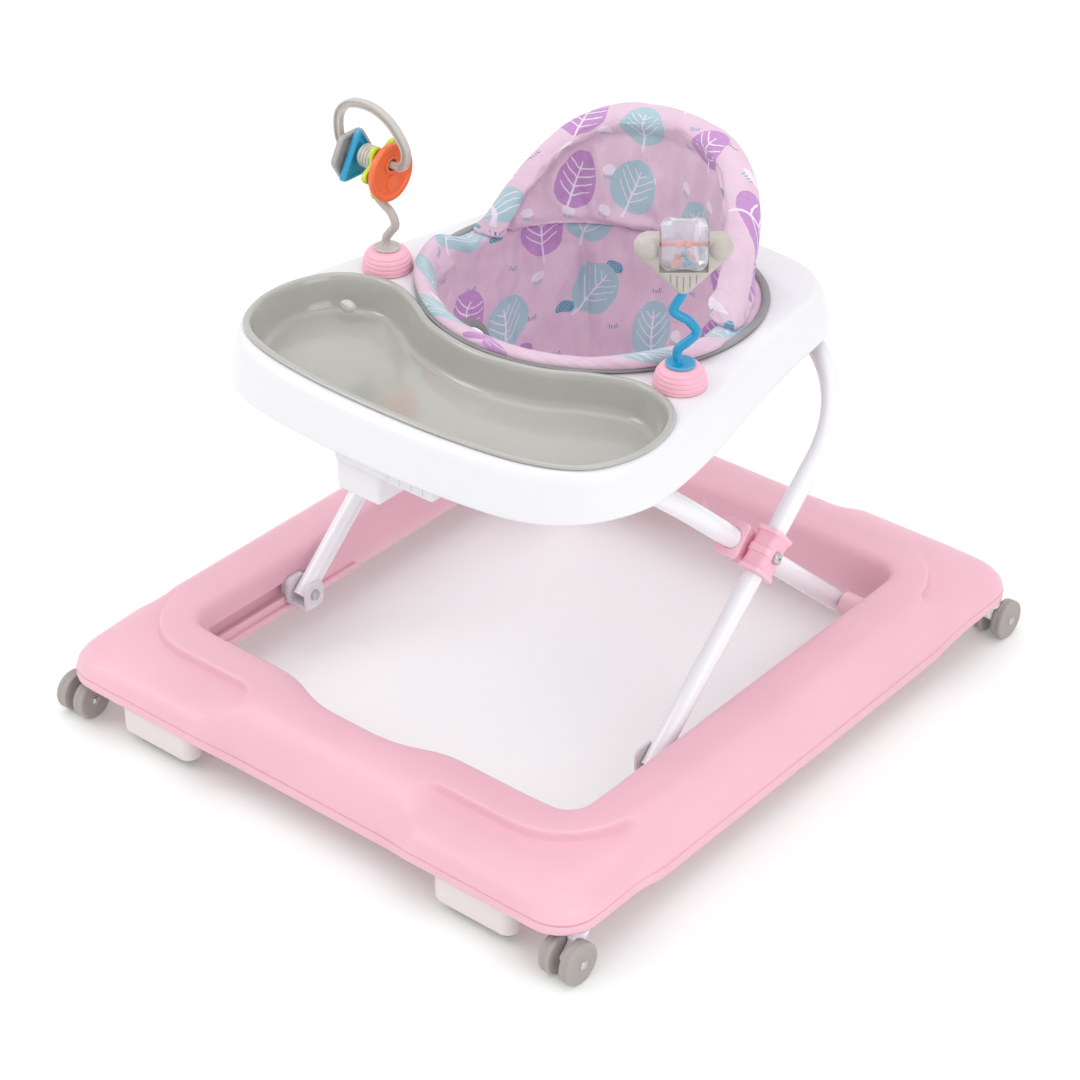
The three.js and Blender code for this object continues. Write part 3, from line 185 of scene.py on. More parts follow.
def moulded_plastic(name, colour, roughness=0.4, grain=0.25, coat=0.0, worn=0.35, flow_marks=0.045):
    """Moulded plastic: faint flow marks, a fine mould grain, and edges rubbed a little paler."""
    material, tree, main, place = shader(name)
    flow = textured(tree, "Noise", place, 9, 3)
    deep = tuple(c * (1 - flow_marks) for c in colour)
    pale = tuple(min(c * (1 + flow_marks * 0.6), 1) for c in colour)
    body = mixed(tree, ranged(tree, flow, 0.35, 0.65, 0, 1), deep, pale)
    edge = ranged(tree, tree.nodes.new("ShaderNodeNewGeometry").outputs["Pointiness"], 0.52, 0.58, 0, worn)
    rubbed = tuple(c * 0.6 + 0.4 for c in colour)
    tree.links.new(mixed(tree, edge, body, rubbed), main.inputs["Base Color"])
    marks = textured(tree, "Noise", place, 55, 4)
    gloss = ranged(tree, marks, 0.3, 0.7, roughness - flow_marks, roughness + flow_marks * 1.5)
    tree.links.new(gloss, main.inputs["Roughness"])
    bumped(tree, main, textured(tree, "Noise", place, 1500, 2), 0.00012, grain)
    main.inputs["Coat Weight"].default_value = coat
    main.inputs["Coat Roughness"].default_value = 0.12
    return material


def mesh_piece(name, points, faces, body, material, smooth_angle=42):
    """A named mesh that rides on a body, smooth except where its faces meet sharply."""
    mesh = bpy.data.meshes.new(name)
    mesh.from_pydata([tuple(p) for p in points], [], faces)
    piece = bpy.data.objects.new(name, mesh)
    bpy.context.scene.collection.objects.link(piece)
    shape = bmesh.new()
    shape.from_mesh(mesh)
    bmesh.ops.remove_doubles(shape, verts=shape.verts, dist=1e-6)
    bmesh.ops.recalc_face_normals(shape, faces=shape.faces)
    shape.to_mesh(mesh)
    shape.free()
    finish_mesh(piece, smooth_angle)
    if material:
        mesh.materials.append(material)
    if body:
        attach(piece, body)
    return piece


def finish_mesh(piece, smooth_angle=42):
    """Smooth shading, broken where two faces meet at more than an angle in degrees."""
    piece.data.shade_smooth()
    piece.data.set_sharp_from_angle(angle=math.radians(smooth_angle))


def settle(piece, smooth_angle=42):
    """Applies a piece's modifiers to its own mesh."""
    bpy.context.view_layer.update()
    done = bpy.data.meshes.new_from_object(piece.evaluated_get(bpy.context.evaluated_depsgraph_get()))
    piece.modifiers.clear()
    piece.data = done
    finish_mesh(piece, smooth_angle)
    return piece


def skin_faces(rows, columns, around=True, along=False):
    """Faces of a grid of rows of points; around joins each row's ends, along joins last row to first."""
    faces = []
    for i in range(rows if along else rows - 1):
        for j in range(columns if around else columns - 1):
            low, high, k = i * columns, (i + 1) % rows * columns, (j + 1) % columns
            faces.append((low + j, low + k, high + k, high + j))
    return faces


def cut(piece, other, operation="DIFFERENCE", smooth_angle=42):
    """Cuts a closed mesh out of a piece, or joins it on with UNION, and throws it away."""
    boolean = piece.modifiers.new("cut", "BOOLEAN")
    boolean.operation = operation
    boolean.solver = "EXACT"
    boolean.object = other
    settle(piece, smooth_angle)
    bpy.data.objects.remove(other)
    return piece


def smooth_share(t):
    """0 to 1 with a soft start and end."""
    t = np.clip(t, 0, 1)
    return t * t * (3 - 2 * t)


def curved(points, count, closed=False):
    """A smooth line through points, as count evenly spaced places along it."""
    points = [np.array(p, float) for p in points]
    n = len(points)
    steps = 24
    fine = []
    for i in range(n if closed else n - 1):
        if closed:
            a, b, c, d = (points[(i + k) % n] for k in (-1, 0, 1, 2))
        else:
            a, b, c, d = (points[min(max(i + k, 0), n - 1)] for k in (-1, 0, 1, 2))
        for t in np.arange(steps) / steps:
            bend = 2 * a - 5 * b + 4 * c - d
            fine.append(0.5 * (2 * b + (c - a) * t + bend * t**2 + (3 * b - a - 3 * c + d) * t**3))
    fine.append(points[0] if closed else points[-1])
    fine = np.array(fine)
    length = np.concatenate([[0], np.cumsum(np.linalg.norm(np.diff(fine, axis=0), axis=1))])
    places = np.linspace(0, length[-1], count, endpoint=not closed)
    return np.stack([np.interp(places, length, fine[:, k]) for k in range(fine.shape[1])], axis=1)


base_low, base_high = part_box("base_frame")
PAD_PROUD = np.array((5, 14)) * MM
pad_half = np.array((base_high.x, base_high.y))
rail_half = pad_half - PAD_PROUD
ridge_half = rail_half - np.array((30, 45)) * MM
opening_half = rail_half - np.array((72, 86)) * MM
PAD_START_X = 0.112
PAD_START_Y = 0.232
RIDGE_TOP = base_high.z
RAIL_BOTTOM = base_low.z
CORNER_FROM = np.array((0.150, 0.190))
OPENING_RADIUS = 0.023
RIDGE_RADIUS = 0.08
RIM_RADIUS = 0.038
NOTCH_DEPTH = 0.022
NOTCH_HALF = 0.076
BASE_WALL = 0.003


def corner_point(half, radius, angle):
    """Where a ray from the corner's common point meets a rounded rectangle's quarter."""
    dx, dy = math.cos(angle), math.sin(angle)
    to_side = (half[0] - CORNER_FROM[0]) / max(dx, 1e-9)
    if CORNER_FROM[1] + to_side * dy <= half[1] - radius:
        return half[0], CORNER_FROM[1] + to_side * dy
    to_end = (half[1] - CORNER_FROM[1]) / max(dy, 1e-9)
    if CORNER_FROM[0] + to_end * dx <= half[0] - radius:
        return CORNER_FROM[0] + to_end * dx, half[1]
    fx, fy = CORNER_FROM - (np.array(half) - radius)
    b = fx * dx + fy * dy
    reach = -b + math.sqrt(b * b - (fx * fx + fy * fy - radius * radius))
    return CORNER_FROM[0] + reach * dx, CORNER_FROM[1] + reach * dy


def ring_outline(half, radius):
    """A rounded rectangle, anticlockwise, whose points match those of the ring's other outlines."""
    corner = [corner_point(half, radius, a) for a in np.linspace(0, math.radians(87), 40)]
    side = [(half[0], CORNER_FROM[1] * share) for share in np.linspace(-1, 1, 76, endpoint=False)]
    end = [(-CORNER_FROM[0] * share, half[1]) for share in np.linspace(-1, 1, 80, endpoint=False)]
    front_corner = [(x, -y) for x, y in corner[1:]][::-1]
    right = [(CORNER_FROM[0], -half[1])] + front_corner + side + corner + end
    return np.array(right + [(-x, -y) for x, y in right])


def base_sections():
    """Sections of the moulding's outer skin, all round the ring, from the inner foot to the lip's edge."""
    inner = ring_outline(opening_half, OPENING_RADIUS)
    front = inner[:, 1] < 0.001 - opening_half[1]
    inner[:, 1] -= np.where(front, NOTCH_DEPTH * np.exp(-((inner[:, 0] / NOTCH_HALF) ** 4)), 0)
    ridge = ring_outline(ridge_half, RIDGE_RADIUS)
    rail = ring_outline(rail_half, RIM_RADIUS)
    pad = ring_outline(pad_half, RIM_RADIUS)
    on_end = np.abs(rail[:, 1]) >= rail_half[1] - 0.001
    past = np.where(on_end, np.abs(rail[:, 0]) - PAD_START_X, np.abs(rail[:, 1]) - PAD_START_Y)
    rim = rail + (pad - rail) * smooth_share((past + 0.026) / 0.052)[:, None]
    # (reach from the opening, where the ridge's outline is at 0.042, and height)
    inward = [
        (0, RAIL_BOTTOM + 0.001), (0, 0.05), (0, 0.070), (0, 0.0795), (0.0004, 0.083), (0.0018, 0.0868)
    ]
    inward += [(0.0045, 0.0898), (0.009, 0.0919), (0.016, RIDGE_TOP), (0.026, RIDGE_TOP + 0.0006)]
    rows = [(inner + (ridge - inner) * reach / 0.042, np.full(len(inner), z)) for reach, z in inward]
    rows.append((inner + (ridge - inner) * 0.82, np.full(len(inner), RIDGE_TOP + 0.0008)))
    # (share of the way from ridge to rim, height) on a rail, and the same on a corner pad
    outward = [
        ((0.00, 93.0), (0.00, 93.2)),
        ((0.08, 92.6), (0.030, 92.8)),
        ((0.13, 92.1), (0.044, 92.0)),
        ((0.18, 91.5), (0.053, 90.4)),
        ((0.22, 90.9), (0.061, 87.4)),
        ((0.25, 90.4), (0.068, 85.0)),
        ((0.28, 89.9), (0.078, 83.8)),
        ((0.32, 89.2), (0.100, 83.4)),
        ((0.42, 86.9), (0.200, 83.2)),
        ((0.54, 83.0), (0.360, 82.2)),
        ((0.66, 78.0), (0.540, 79.9)),
        ((0.77, 72.2), (0.700, 76.2)),
        ((0.86, 66.0), (0.830, 72.6)),
        ((0.93, 59.5), (0.930, 67.0)),
        ((0.975, 53.0), (0.985, 61.5)),
        ((0.995, 46.5), (1.000, 57.6)),
        ((0.995, 43.6), (1.000, 56.6)),
        ((0.978, 42.9), (0.988, 56.0)),
        ((0.978, 42.4), (0.988, 55.5)),
        ((1.012, 41.8), (1.008, 54.9)),
        ((1.020, 40.8), (1.012, 54.0)),
        ((1.020, 34.0), (1.012, 48.0)),
        ((1.010, 32.4), (1.006, 46.4)),
        ((0.995, 32.0), (0.998, 46.0)),
    ]
    for (rail_reach, rail_z), (pad_reach, pad_z) in outward:
        blend = 0.006 + 0.020 * rail_reach
        share = smooth_share((past + blend) / (2 * blend))
        reach = (rail_reach + (pad_reach - rail_reach) * share)[:, None]
        rows.append((ridge + (rim - ridge) * reach, (rail_z + (pad_z - rail_z) * share) * MM))
    return np.array([np.column_stack([places, heights]) for places, heights in rows])


def block_mesh(name, low, high, bevel=0.0, segments=3):
    """A rounded block between two corners, as a loose mesh object."""
    shape = bmesh.new()
    bmesh.ops.create_cube(shape, size=1)
    low, high = Vector(low), Vector(high)
    size = high - low
    for vertex in shape.verts:
        vertex.co = Vector([low[k] + (vertex.co[k] + 0.5) * size[k] for k in range(3)])
    if bevel:
        bmesh.ops.bevel(
            shape, geom=shape.edges[:], offset=bevel, segments=segments, profile=0.5, affect="EDGES"
        )
    mesh = bpy.data.meshes.new(name)
    shape.to_mesh(mesh)
    shape.free()
    block = bpy.data.objects.new(name, mesh)
    bpy.context.scene.collection.objects.link(block)
    return block


def rod_mesh(name, start, end, radius, sides=32):
    """A plain round rod between two points, as a loose mesh object."""
    start, end = Vector(start), Vector(end)
    turn = (end - start).to_track_quat("Z", "Y").to_matrix().to_4x4()
    shape = bmesh.new()
    bmesh.ops.create_cone(
        shape, cap_ends=True, segments=sides, radius1=radius, radius2=radius, depth=(end - start).length,
        matrix=Matrix.Translation((start + end) / 2) @ turn,
    )
    mesh = bpy.data.meshes.new(name)
    shape.to_mesh(mesh)
    shape.free()
    rod = bpy.data.objects.new(name, mesh)
    bpy.context.scene.collection.objects.link(rod)
    return rod


base_pink = moulded_plastic("base_pink", srgb(237, 184, 199), roughness=0.36, grain=0.3, flow_marks=0.03)
sections = base_sections()
base_ring = mesh_piece(
    "base_ring",
    sections.reshape(-1, 3),
    skin_faces(sections.shape[0], sections.shape[1]),
    None,
    base_pink,
)
shell = base_ring.modifiers.new("wall", "SOLIDIFY")
shell.thickness = BASE_WALL
shell.offset = -1
settle(base_ring)
slot_low, slot_high = -0.229, -0.084
SLOT_HALF = 0.0085
foot_z = 0.059
for side in (-1, 1):
    wall = side * opening_half[0]
    x_range = sorted((wall - side * 0.006, wall + side * 0.007))
    slot_from = (x_range[0], slot_low, foot_z - SLOT_HALF)
    slot_to = (x_range[1], slot_high, foot_z + SLOT_HALF)
    cut(base_ring, block_mesh("slot", slot_from, slot_to, 0.002))
# A shallow arch in the foot of the rear rail's inner wall.
arch_y = opening_half[1]
cut(base_ring, rod_mesh("arch", (0, arch_y - 0.012, -0.088), (0, arch_y + 0.009, -0.088), 0.150, 96))
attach(base_ring, "base")
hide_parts("base_frame")

# The guide channel behind each slot: a ledge that the sliding foot's tongue runs along.
for label, side in (("left", -1), ("right", 1)):
    wall = side * opening_half[0]
    far = sorted((wall + side * 0.0105, wall + side * 0.013))
    channel = block_mesh(
        "guide_channel_" + label,
        (far[0], slot_low - 0.012, foot_z - 0.016),
        (far[1], slot_high + 0.012, foot_z + 0.027),
        0.0008,
    )
    ledge = sorted((wall - side * 0.0045, wall + side * 0.001))
    rail = block_mesh(
        "guide_rail_" + label,
        (ledge[0], slot_low - 0.006, 0.0345),
        (ledge[1], slot_high + 0.06, 0.0415),
        0.0018,
    )
    boss_low, boss_high = sorted((side * 0.2036, wall + side * 0.002))
    boss = rod_mesh("pivot_boss_" + label, (boss_low, 0.207, foot_z), (boss_high, 0.207, foot_z), 0.0125, 48)
    for extra in (channel, rail, boss):
        extra.data.materials.append(base_pink)
        finish_mesh(extra)
        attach(extra, "base")


# ---- Stoppers ----------------------------------------------------------------------------------
# A soft-cornered off-white block under each end rail, with a grey rubber strip in its underside
# that grips the floor at a step edge. Pressed into the hollow of the rail.
def rounded_outline(length, depth, radius, per_corner=8):
    """A rectangle with round corners, anticlockwise, round its own middle."""
    points = []
    for corner, (sx, sy) in enumerate(((1, -1), (1, 1), (-1, 1), (-1, -1))):
        for k in range(per_corner + 1):
            turn = math.radians(-90 + 90 * corner + 90 * k / per_corner)
            points.append(
                (
                    sx * (length / 2 - radius) + radius * math.cos(turn),
                    sy * (depth / 2 - radius) + radius * math.sin(turn),
                )
            )
    return np.array(points)


def grown(outline, distance):
    """A closed outline moved outwards along its normals."""
    along = np.roll(outline, -1, axis=0) - np.roll(outline, 1, axis=0)
    along = along / np.maximum(np.linalg.norm(along, axis=1), 1e-9)[:, None]
    return outline + distance * np.column_stack([along[:, 1], -along[:, 0]])


def lofted(name, rings, body, material, smooth_angle=42):
    """A solid through rings of matching points, closed at both ends."""
    columns = len(rings[0])
    faces = skin_faces(len(rings), columns)
    faces += [tuple(range(columns)), tuple(range((len(rings) - 1) * columns, len(rings) * columns))]
    return mesh_piece(name, np.concatenate(rings), faces, body, material, smooth_angle)


def stacked(name, outline, levels, body, material):
    """A solid whose outline grows and shrinks as it rises: levels are (height, growth)."""
    rings = [np.column_stack([grown(outline, growth), np.full(len(outline), z)]) for z, growth in levels]
    return lofted(name, rings, body, material)


def rounded_foot(low, size):
    """Levels down a quarter round of a size, from its top to its foot."""
    turns = [k / 6 * math.pi / 2 for k in range(7)]
    return [(low + size * (1 - math.sin(turn)), -size * (1 - math.cos(turn))) for turn in turns]


stopper_white = moulded_plastic("stopper_white", srgb(232, 220, 220), roughness=0.5, grain=0.3)
grip_rubber = moulded_plastic("grip_rubber", srgb(142, 138, 134), roughness=0.8, grain=0.7, worn=0.1)
STOPPER_TOP = 0.062
for corner in ("front_left", "front_right", "rear_left", "rear_right"):
    low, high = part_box("stopper_" + corner)
    middle = (low + high) / 2
    outline = rounded_outline(high.x - low.x, high.y - low.y, 0.0125) + np.array((middle.x, middle.y))
    levels = rounded_foot(low.z, 0.006)[::-1] + [(STOPPER_TOP, 0.0)]
    stopper = stacked("stopper_block_" + corner, outline, levels, "base", stopper_white)
    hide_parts("stopper_" + corner)
    low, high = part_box("stopper_pad_" + corner)
    middle = (low + high) / 2
    outline = rounded_outline(high.x - low.x, high.y - low.y, 0.008) + np.array((middle.x, middle.y))
    strip = stacked(
        "grip_strip_" + corner,
        outline,
        [(low.z, -0.001), (low.z + 0.0006, 0), (high.z, 0)],
        "base",
        grip_rubber,
    )
    for offset in np.linspace(-0.035, 0.035, 9):
        groove = block_mesh(
            "groove",
            (middle.x + offset - 0.0008, low.y - 0.01, low.z - 0.01),
            (middle.x + offset + 0.0008, high.y + 0.01, low.z + 0.0007),
        )
        cut(strip, groove)
    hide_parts("stopper_pad_" + corner)


# ---- Castors -----------------------------------------------------------------------------------
# Four swivelling twin-wheel castors: a white nylon fork whose stem turns in the corner pad, and two
# warm grey wheels on a steel axle with a domed washer on each end.
def lathed(name, profile, centre, axis, body, material, steps=56, smooth_angle=35):
    """A turned piece: profile is (radius, place along the axis), axis is 'x', 'y' or 'z'."""
    rows = []
    for turn in np.linspace(0, 2 * math.pi, steps, endpoint=False):
        row = [(r * math.cos(turn), r * math.sin(turn), along) for r, along in profile]
        rows.append(row)
    points = np.array(rows).reshape(-1, 3)
    if axis == "x":
        points = points[:, [2, 0, 1]]
    if axis == "y":
        points = points[:, [1, 2, 0]]
    columns = len(profile)
    faces = skin_faces(steps, columns, around=False, along=True)
    return mesh_piece(name, points + np.array(centre), faces, body, material, smooth_angle)


def joined(name, parts, smooth_angle=40):
    """Several loose meshes as one named piece."""
    shape = bmesh.new()
    for part in parts:
        shape.from_mesh(part.data)
    mesh = bpy.data.meshes.new(name)
    shape.to_mesh(mesh)
    shape.free()
    for material in parts[0].data.materials:
        mesh.materials.append(material)
    for part in parts:
        bpy.data.objects.remove(part)
    piece = bpy.data.objects.new(name, mesh)
    bpy.context.scene.collection.objects.link(piece)
    finish_mesh(piece, smooth_angle)
    return piece


def brushed_metal(name, colour):
    """Plated steel with fine turning marks."""
    material, tree, main, place = shader(name)
    stretch = tree.nodes.new("ShaderNodeMapping")
    stretch.inputs["Scale"].default_value = (12, 1, 1)
    tree.links.new(place, stretch.inputs["Vector"])
    marks = textured(tree, "Noise", stretch.outputs["Vector"], 400, 3)
    tree.links.new(ranged(tree, marks, 0.3, 0.7, 0.22, 0.42), main.inputs["Roughness"])
    tone = ranged(tree, textured(tree, "Noise", place, 60, 3), 0.3, 0.7, 0, 1)
    tree.links.new(mixed(tree, tone, tuple(c * 0.85 for c in colour), colour), main.inputs["Base Color"])
    main.inputs["Metallic"].default_value = 1.0
    bumped(tree, main, marks, 0.00003, 0.3)
    return material


wheel_grey = moulded_plastic("wheel_grey", srgb(167, 159, 155), roughness=0.55, grain=0.5, worn=0.2)
fork_white = moulded_plastic("fork_white", srgb(236, 232, 240), roughness=0.35, grain=0.15)
plated_steel = brushed_metal("plated_steel", srgb(205, 205, 208))


CASTOR_TRAIL = 0.014
FORK_HALF = 0.0047


def castor_fork(corner, stem, wheel_radius):
    """The fork: a swept plate between the wheels, a collar, and the stem above it."""
    side = []
    for turn in np.linspace(math.radians(200), math.radians(385), 22):
        side.append((CASTOR_TRAIL + 0.0068 * math.cos(turn), wheel_radius + 0.0068 * math.sin(turn)))
    lower = [(0.0105, 0.032), (0.0098, 0.0405)]
    upper = [(-0.0092, 0.0405), (-0.0086, 0.032), (-0.002, 0.0235)]
    outline = np.array(side + lower + upper)
    smooth_outline = curved(outline, 72, closed=True)
    direction = -1 if stem[1] < 0 else 1
    rings = []
    for x, inset in ((-1, 0.0016), (-0.72, 0.0004), (-0.5, 0), (0.5, 0), (0.72, 0.0004), (1, 0.0016)):
        ring = grown(smooth_outline, -inset)
        rings.append(
            np.column_stack(
                [np.full(len(ring), stem[0] + x * FORK_HALF), stem[1] + direction * ring[:, 0], ring[:, 1]]
            )
        )
    plate = lofted("fork_plate", rings, None, fork_white)
    collar_profile = [
        (0, 0.0385), (0.0085, 0.0385), (0.0095, 0.0395), (0.0095, 0.0436), (0.0085, 0.0444), (0.005, 0.0446)
    ]
    collar_profile += [(0.005, 0.0582), (0.0042, 0.059), (0, 0.059)]
    collar = lathed("fork_collar", collar_profile, (stem[0], stem[1], 0), "z", None, fork_white)
    return joined("fork_" + corner, [plate, collar])


for corner in ("front_left", "front_right", "rear_left", "rear_right"):
    wheel_low, wheel_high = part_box("castor_wheel_" + corner + "_a")
    fork_low, fork_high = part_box("castor_fork_" + corner)
    wheel_radius = (wheel_high.z - wheel_low.z) / 2
    hub = (wheel_low + wheel_high) / 2
    direction = 1 if hub.y > 0 else -1
    stem = ((fork_low.x + fork_high.x) / 2, hub.y - direction * CASTOR_TRAIL)
    fork = castor_fork(corner, stem, wheel_radius)
    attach(fork, "castor_" + corner)
    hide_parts("castor_fork_" + corner)
    for which in ("a", "b"):
        low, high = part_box("castor_wheel_" + corner + "_" + which)
        middle = (low + high) / 2
        outer = 1 if middle.x > stem[0] else -1
        half = (high.x - low.x) / 2
        r = (high.z - low.z) / 2
        profile = [
            (0.0033, -half), (r * 0.55, -half), (r - 0.0022, -half), (r - 0.0009, -half + 0.0005),
            (r - 0.0002, -half + 0.0016),
        ]
        profile += [(r, -half + 0.003), (r, -0.0006), (r - 0.00035, 0), (r, 0.0006), (r, half - 0.0022)]
        profile += [
            (r - 0.0003, half - 0.0012), (r - 0.0012, half - 0.0003), (r - 0.0022, half), (r - 0.0045, half)
        ]
        profile += [
            (r - 0.0052, half - 0.0003), (0.0058, half - 0.0002), (0.0052, half + 0.0004),
            (0.0033, half + 0.0004), (0.0033, -half),
        ]
        profile = [(radius, outer * along) for radius, along in profile]
        wheel = lathed("wheel_" + corner + "_" + which, profile, middle, "x", "wheels_" + corner, wheel_grey)
        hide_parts("castor_wheel_" + corner + "_" + which)
    axle_low, axle_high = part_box("castor_axle_" + corner)
    end = (axle_high.x - axle_low.x) / 2
    profile = [
        (0, -end - 0.0006), (0.0018, -end - 0.0004), (0.0036, -end + 0.0002), (0.0044, -end + 0.0011),
        (0.003, -end + 0.0012),
    ]
    profile += [(radius, -along) for radius, along in profile[::-1]]
    axle = lathed(
        "axle_" + corner,
        profile,
        ((axle_low.x + axle_high.x) / 2, hub.y, wheel_radius),
        "x",
        "wheels_" + corner,
        plated_steel,
        40,
    )
    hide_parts("castor_axle_" + corner)


# ---- Scissor legs ------------------------------------------------------------------------------
# Two U-shaped steel tubes, powder-coated in a pearly white, that cross half way up each side. The
# outer one stands on the sliding feet in front, the inner one on pins at the back of the base.
def swept(name, path, radius, body, material, sides=28):
    """A tube along a path; radius is one number or one for each place."""
    path = np.array(path, float)
    count = len(path)
    radii = np.broadcast_to(radius, count)
    along = np.gradient(path, axis=0)
    along /= np.linalg.norm(along, axis=1)[:, None]
    first = np.cross(along[0], (0, 0, 1) if abs(along[0][2]) < 0.9 else (1, 0, 0))
    across = first / np.linalg.norm(first)
    rings = []
    for i in range(count):
        across = across - along[i] * np.dot(across, along[i])
        across /= np.linalg.norm(across)
        up = np.cross(along[i], across)
        turns = np.linspace(0, 2 * math.pi, sides, endpoint=False)
        rings.append(path[i] + radii[i] * (np.outer(np.cos(turns), across) + np.outer(np.sin(turns), up)))
    return lofted(name, rings, body, material, 40)


def powder_coat(name, colour):
    """Baked powder coat on steel: glossy, with a slight orange-peel and a pearly cast."""
    material, tree, main, place = shader(name)
    cloud = ranged(tree, textured(tree, "Noise", place, 14, 3), 0.35, 0.65, 0, 1)
    cool = tuple(c * f for c, f in zip(colour, (0.985, 0.985, 1.0)))
    tree.links.new(mixed(tree, cloud, cool, colour), main.inputs["Base Color"])
    tree.links.new(
        ranged(tree, textured(tree, "Noise", place, 80, 3), 0.3, 0.7, 0.24, 0.27), main.inputs["Roughness"]
    )
    bumped(tree, main, textured(tree, "Noise", place, 420, 1), 0.0001, 0.1)
    main.inputs["Coat Weight"].default_value = 0.6
    main.inputs["Coat Roughness"].default_value = 0.08
    return material


leg_white = powder_coat("leg_white", srgb(241, 240, 244))
joints = {joint["name"]: joint for joint in frame["joints"]}
crossing = np.array(joints["leg_crossing"]["pos_m"])
foot_pivot = np.array(joints["foot_pivot_right"]["pos_m"])
rear_pivot = np.array(joints["fold"]["pos_m"])
tray_bar = np.array(joints["tray_level"]["pos_m"])


def leg_path(half_width, bar_half, foot, trim):
    """Up one side and down the other: foot, crossing, bend, top bar, bend, crossing, foot."""
    slope = np.array((0, crossing[1] - foot[1], crossing[2] - foot[2]))
    reach = np.linalg.norm(slope)
    slope = slope / reach
    bend = half_width - bar_half
    middle = np.array((0, crossing[1], crossing[2]))
    places = [(half_width, s) for s in np.linspace(-reach - trim, reach - bend, 14, endpoint=False)]
    for turn in np.linspace(0, math.pi / 2, 22):
        places.append((bar_half + bend * math.cos(turn), reach - bend + bend * math.sin(turn)))
    right = [middle + np.array((x, 0, 0)) + slope * s for x, s in places]
    left = [p * np.array((-1, 1, 1)) for p in right[::-1]]
    middle_bar = [right[-1] + (left[0] - right[-1]) * t for t in (0.25, 0.5, 0.75)]
    return right + middle_bar + left


OUTER_RADIUS = 0.0095
INNER_RADIUS = 0.0105
outer_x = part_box("outer_leg_tube")[1].x - OUTER_RADIUS
inner_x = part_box("inner_leg_tube")[1].x - INNER_RADIUS
for name, node, x, bar_half, foot, radius, body, trim in (
    ("outer_leg", "outer_leg_tube", outer_x, 0.102, foot_pivot, OUTER_RADIUS, "outer_leg", 0.007),
    ("inner_leg", "inner_leg_tube", inner_x, 0.075, rear_pivot, INNER_RADIUS, "inner_leg", 0.008),
):
    leg = swept(name, leg_path(x, bar_half, foot, trim), radius, body, leg_white)
    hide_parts(node)


# ---- Crossing clamps and their screws ----------------------------------------------------------
# At each crossing two ribbed pink mouldings grip the legs and turn on one plated screw.
clamp_pink = moulded_plastic("clamp_pink", srgb(247, 186, 204), roughness=0.34, grain=0.2)


def moulded_clamp(name, node, body, leg_end, leg_radius, leg_x):
    """A saddle block along the leg: a waisted middle between two flanges, with a raised centre rib."""
    low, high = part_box(node)
    along = np.array((0, leg_end[1] - crossing[1], leg_end[2] - crossing[2]))
    along /= np.linalg.norm(along)
    across = np.array((0, -along[2], along[1]))
    middle_x, half_x = (low.x + high.x) / 2, (high.x - low.x) / 2
    levels = [
        (-22, 16.2, 0.9), (-21.2, 17.6, 1), (-17.6, 17.6, 1), (-16.8, 15.6, 0.97), (-15, 14.6, 0.93),
        (-6, 14.2, 0.91),
    ]
    levels += [
        (-4.2, 14.4, 0.93), (-3.2, 15.6, 0.97), (3.2, 15.6, 0.97), (4.2, 14.4, 0.93), (6, 14.2, 0.91),
        (15, 14.6, 0.93),
    ]
    levels += [(16.8, 15.6, 0.97), (17.6, 17.6, 1), (21.2, 17.6, 1), (22, 16.2, 0.9)]
    rings = []
    for s, half_height, share in levels:
        outline = rounded_outline(2 * half_x * share, 2 * half_height * MM, 0.0062, 7)
        rings.append(
            np.array([(middle_x + u, 0, 0) for u, _ in outline])
            + crossing * np.array((0, 1, 1))
            + np.outer(outline[:, 1], across)
            + along * s * MM
        )
    clamp = lofted(name, rings, None, clamp_pink, 34)
    at_leg = np.array((leg_x, crossing[1], crossing[2]))
    cut(clamp, rod_mesh("bore", at_leg - along * 0.05, at_leg + along * 0.05, leg_radius + 0.0003, 40))
    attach(clamp, body)
    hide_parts(node)


for label, side in (("left", -1), ("right", 1)):
    for leg_name, foot, radius, x in (
        ("outer", foot_pivot, OUTER_RADIUS, side * outer_x),
        ("inner", rear_pivot, INNER_RADIUS, side * inner_x),
    ):
        piece_name = leg_name + "_" + label
        moulded_clamp("clamp_" + piece_name, "pivot_clamp_" + piece_name, leg_name + "_leg", foot, radius, x)
    low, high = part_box("pivot_screw_" + label)
    outside = high.x if side > 0 else -low.x
    inside = -(low.x if side > 0 else -high.x)
    head = [
        (0, outside - 0.0016), (0.0012, outside - 0.0016), (0.0013, outside - 0.0002),
        (0.0028, outside + 0.0001),
    ]
    head += [
        (0.0048, outside - 0.0005), (0.0059, outside - 0.0018), (0.0061, outside - 0.0031),
        (0.0028, outside - 0.0033),
    ]
    tail = [
        (0.0028, -inside + 0.0031), (0.0052, -inside + 0.003), (0.005, -inside + 0.0008), (0.0038, -inside),
        (0, -inside),
    ]
    profile = [(radius, side * x) for radius, x in head + tail]
    screw = lathed(
        "crossing_screw_" + label, profile, (0, crossing[1], crossing[2]), "x", "inner_leg", plated_steel, 40
    )
    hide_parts("pivot_screw_" + label)


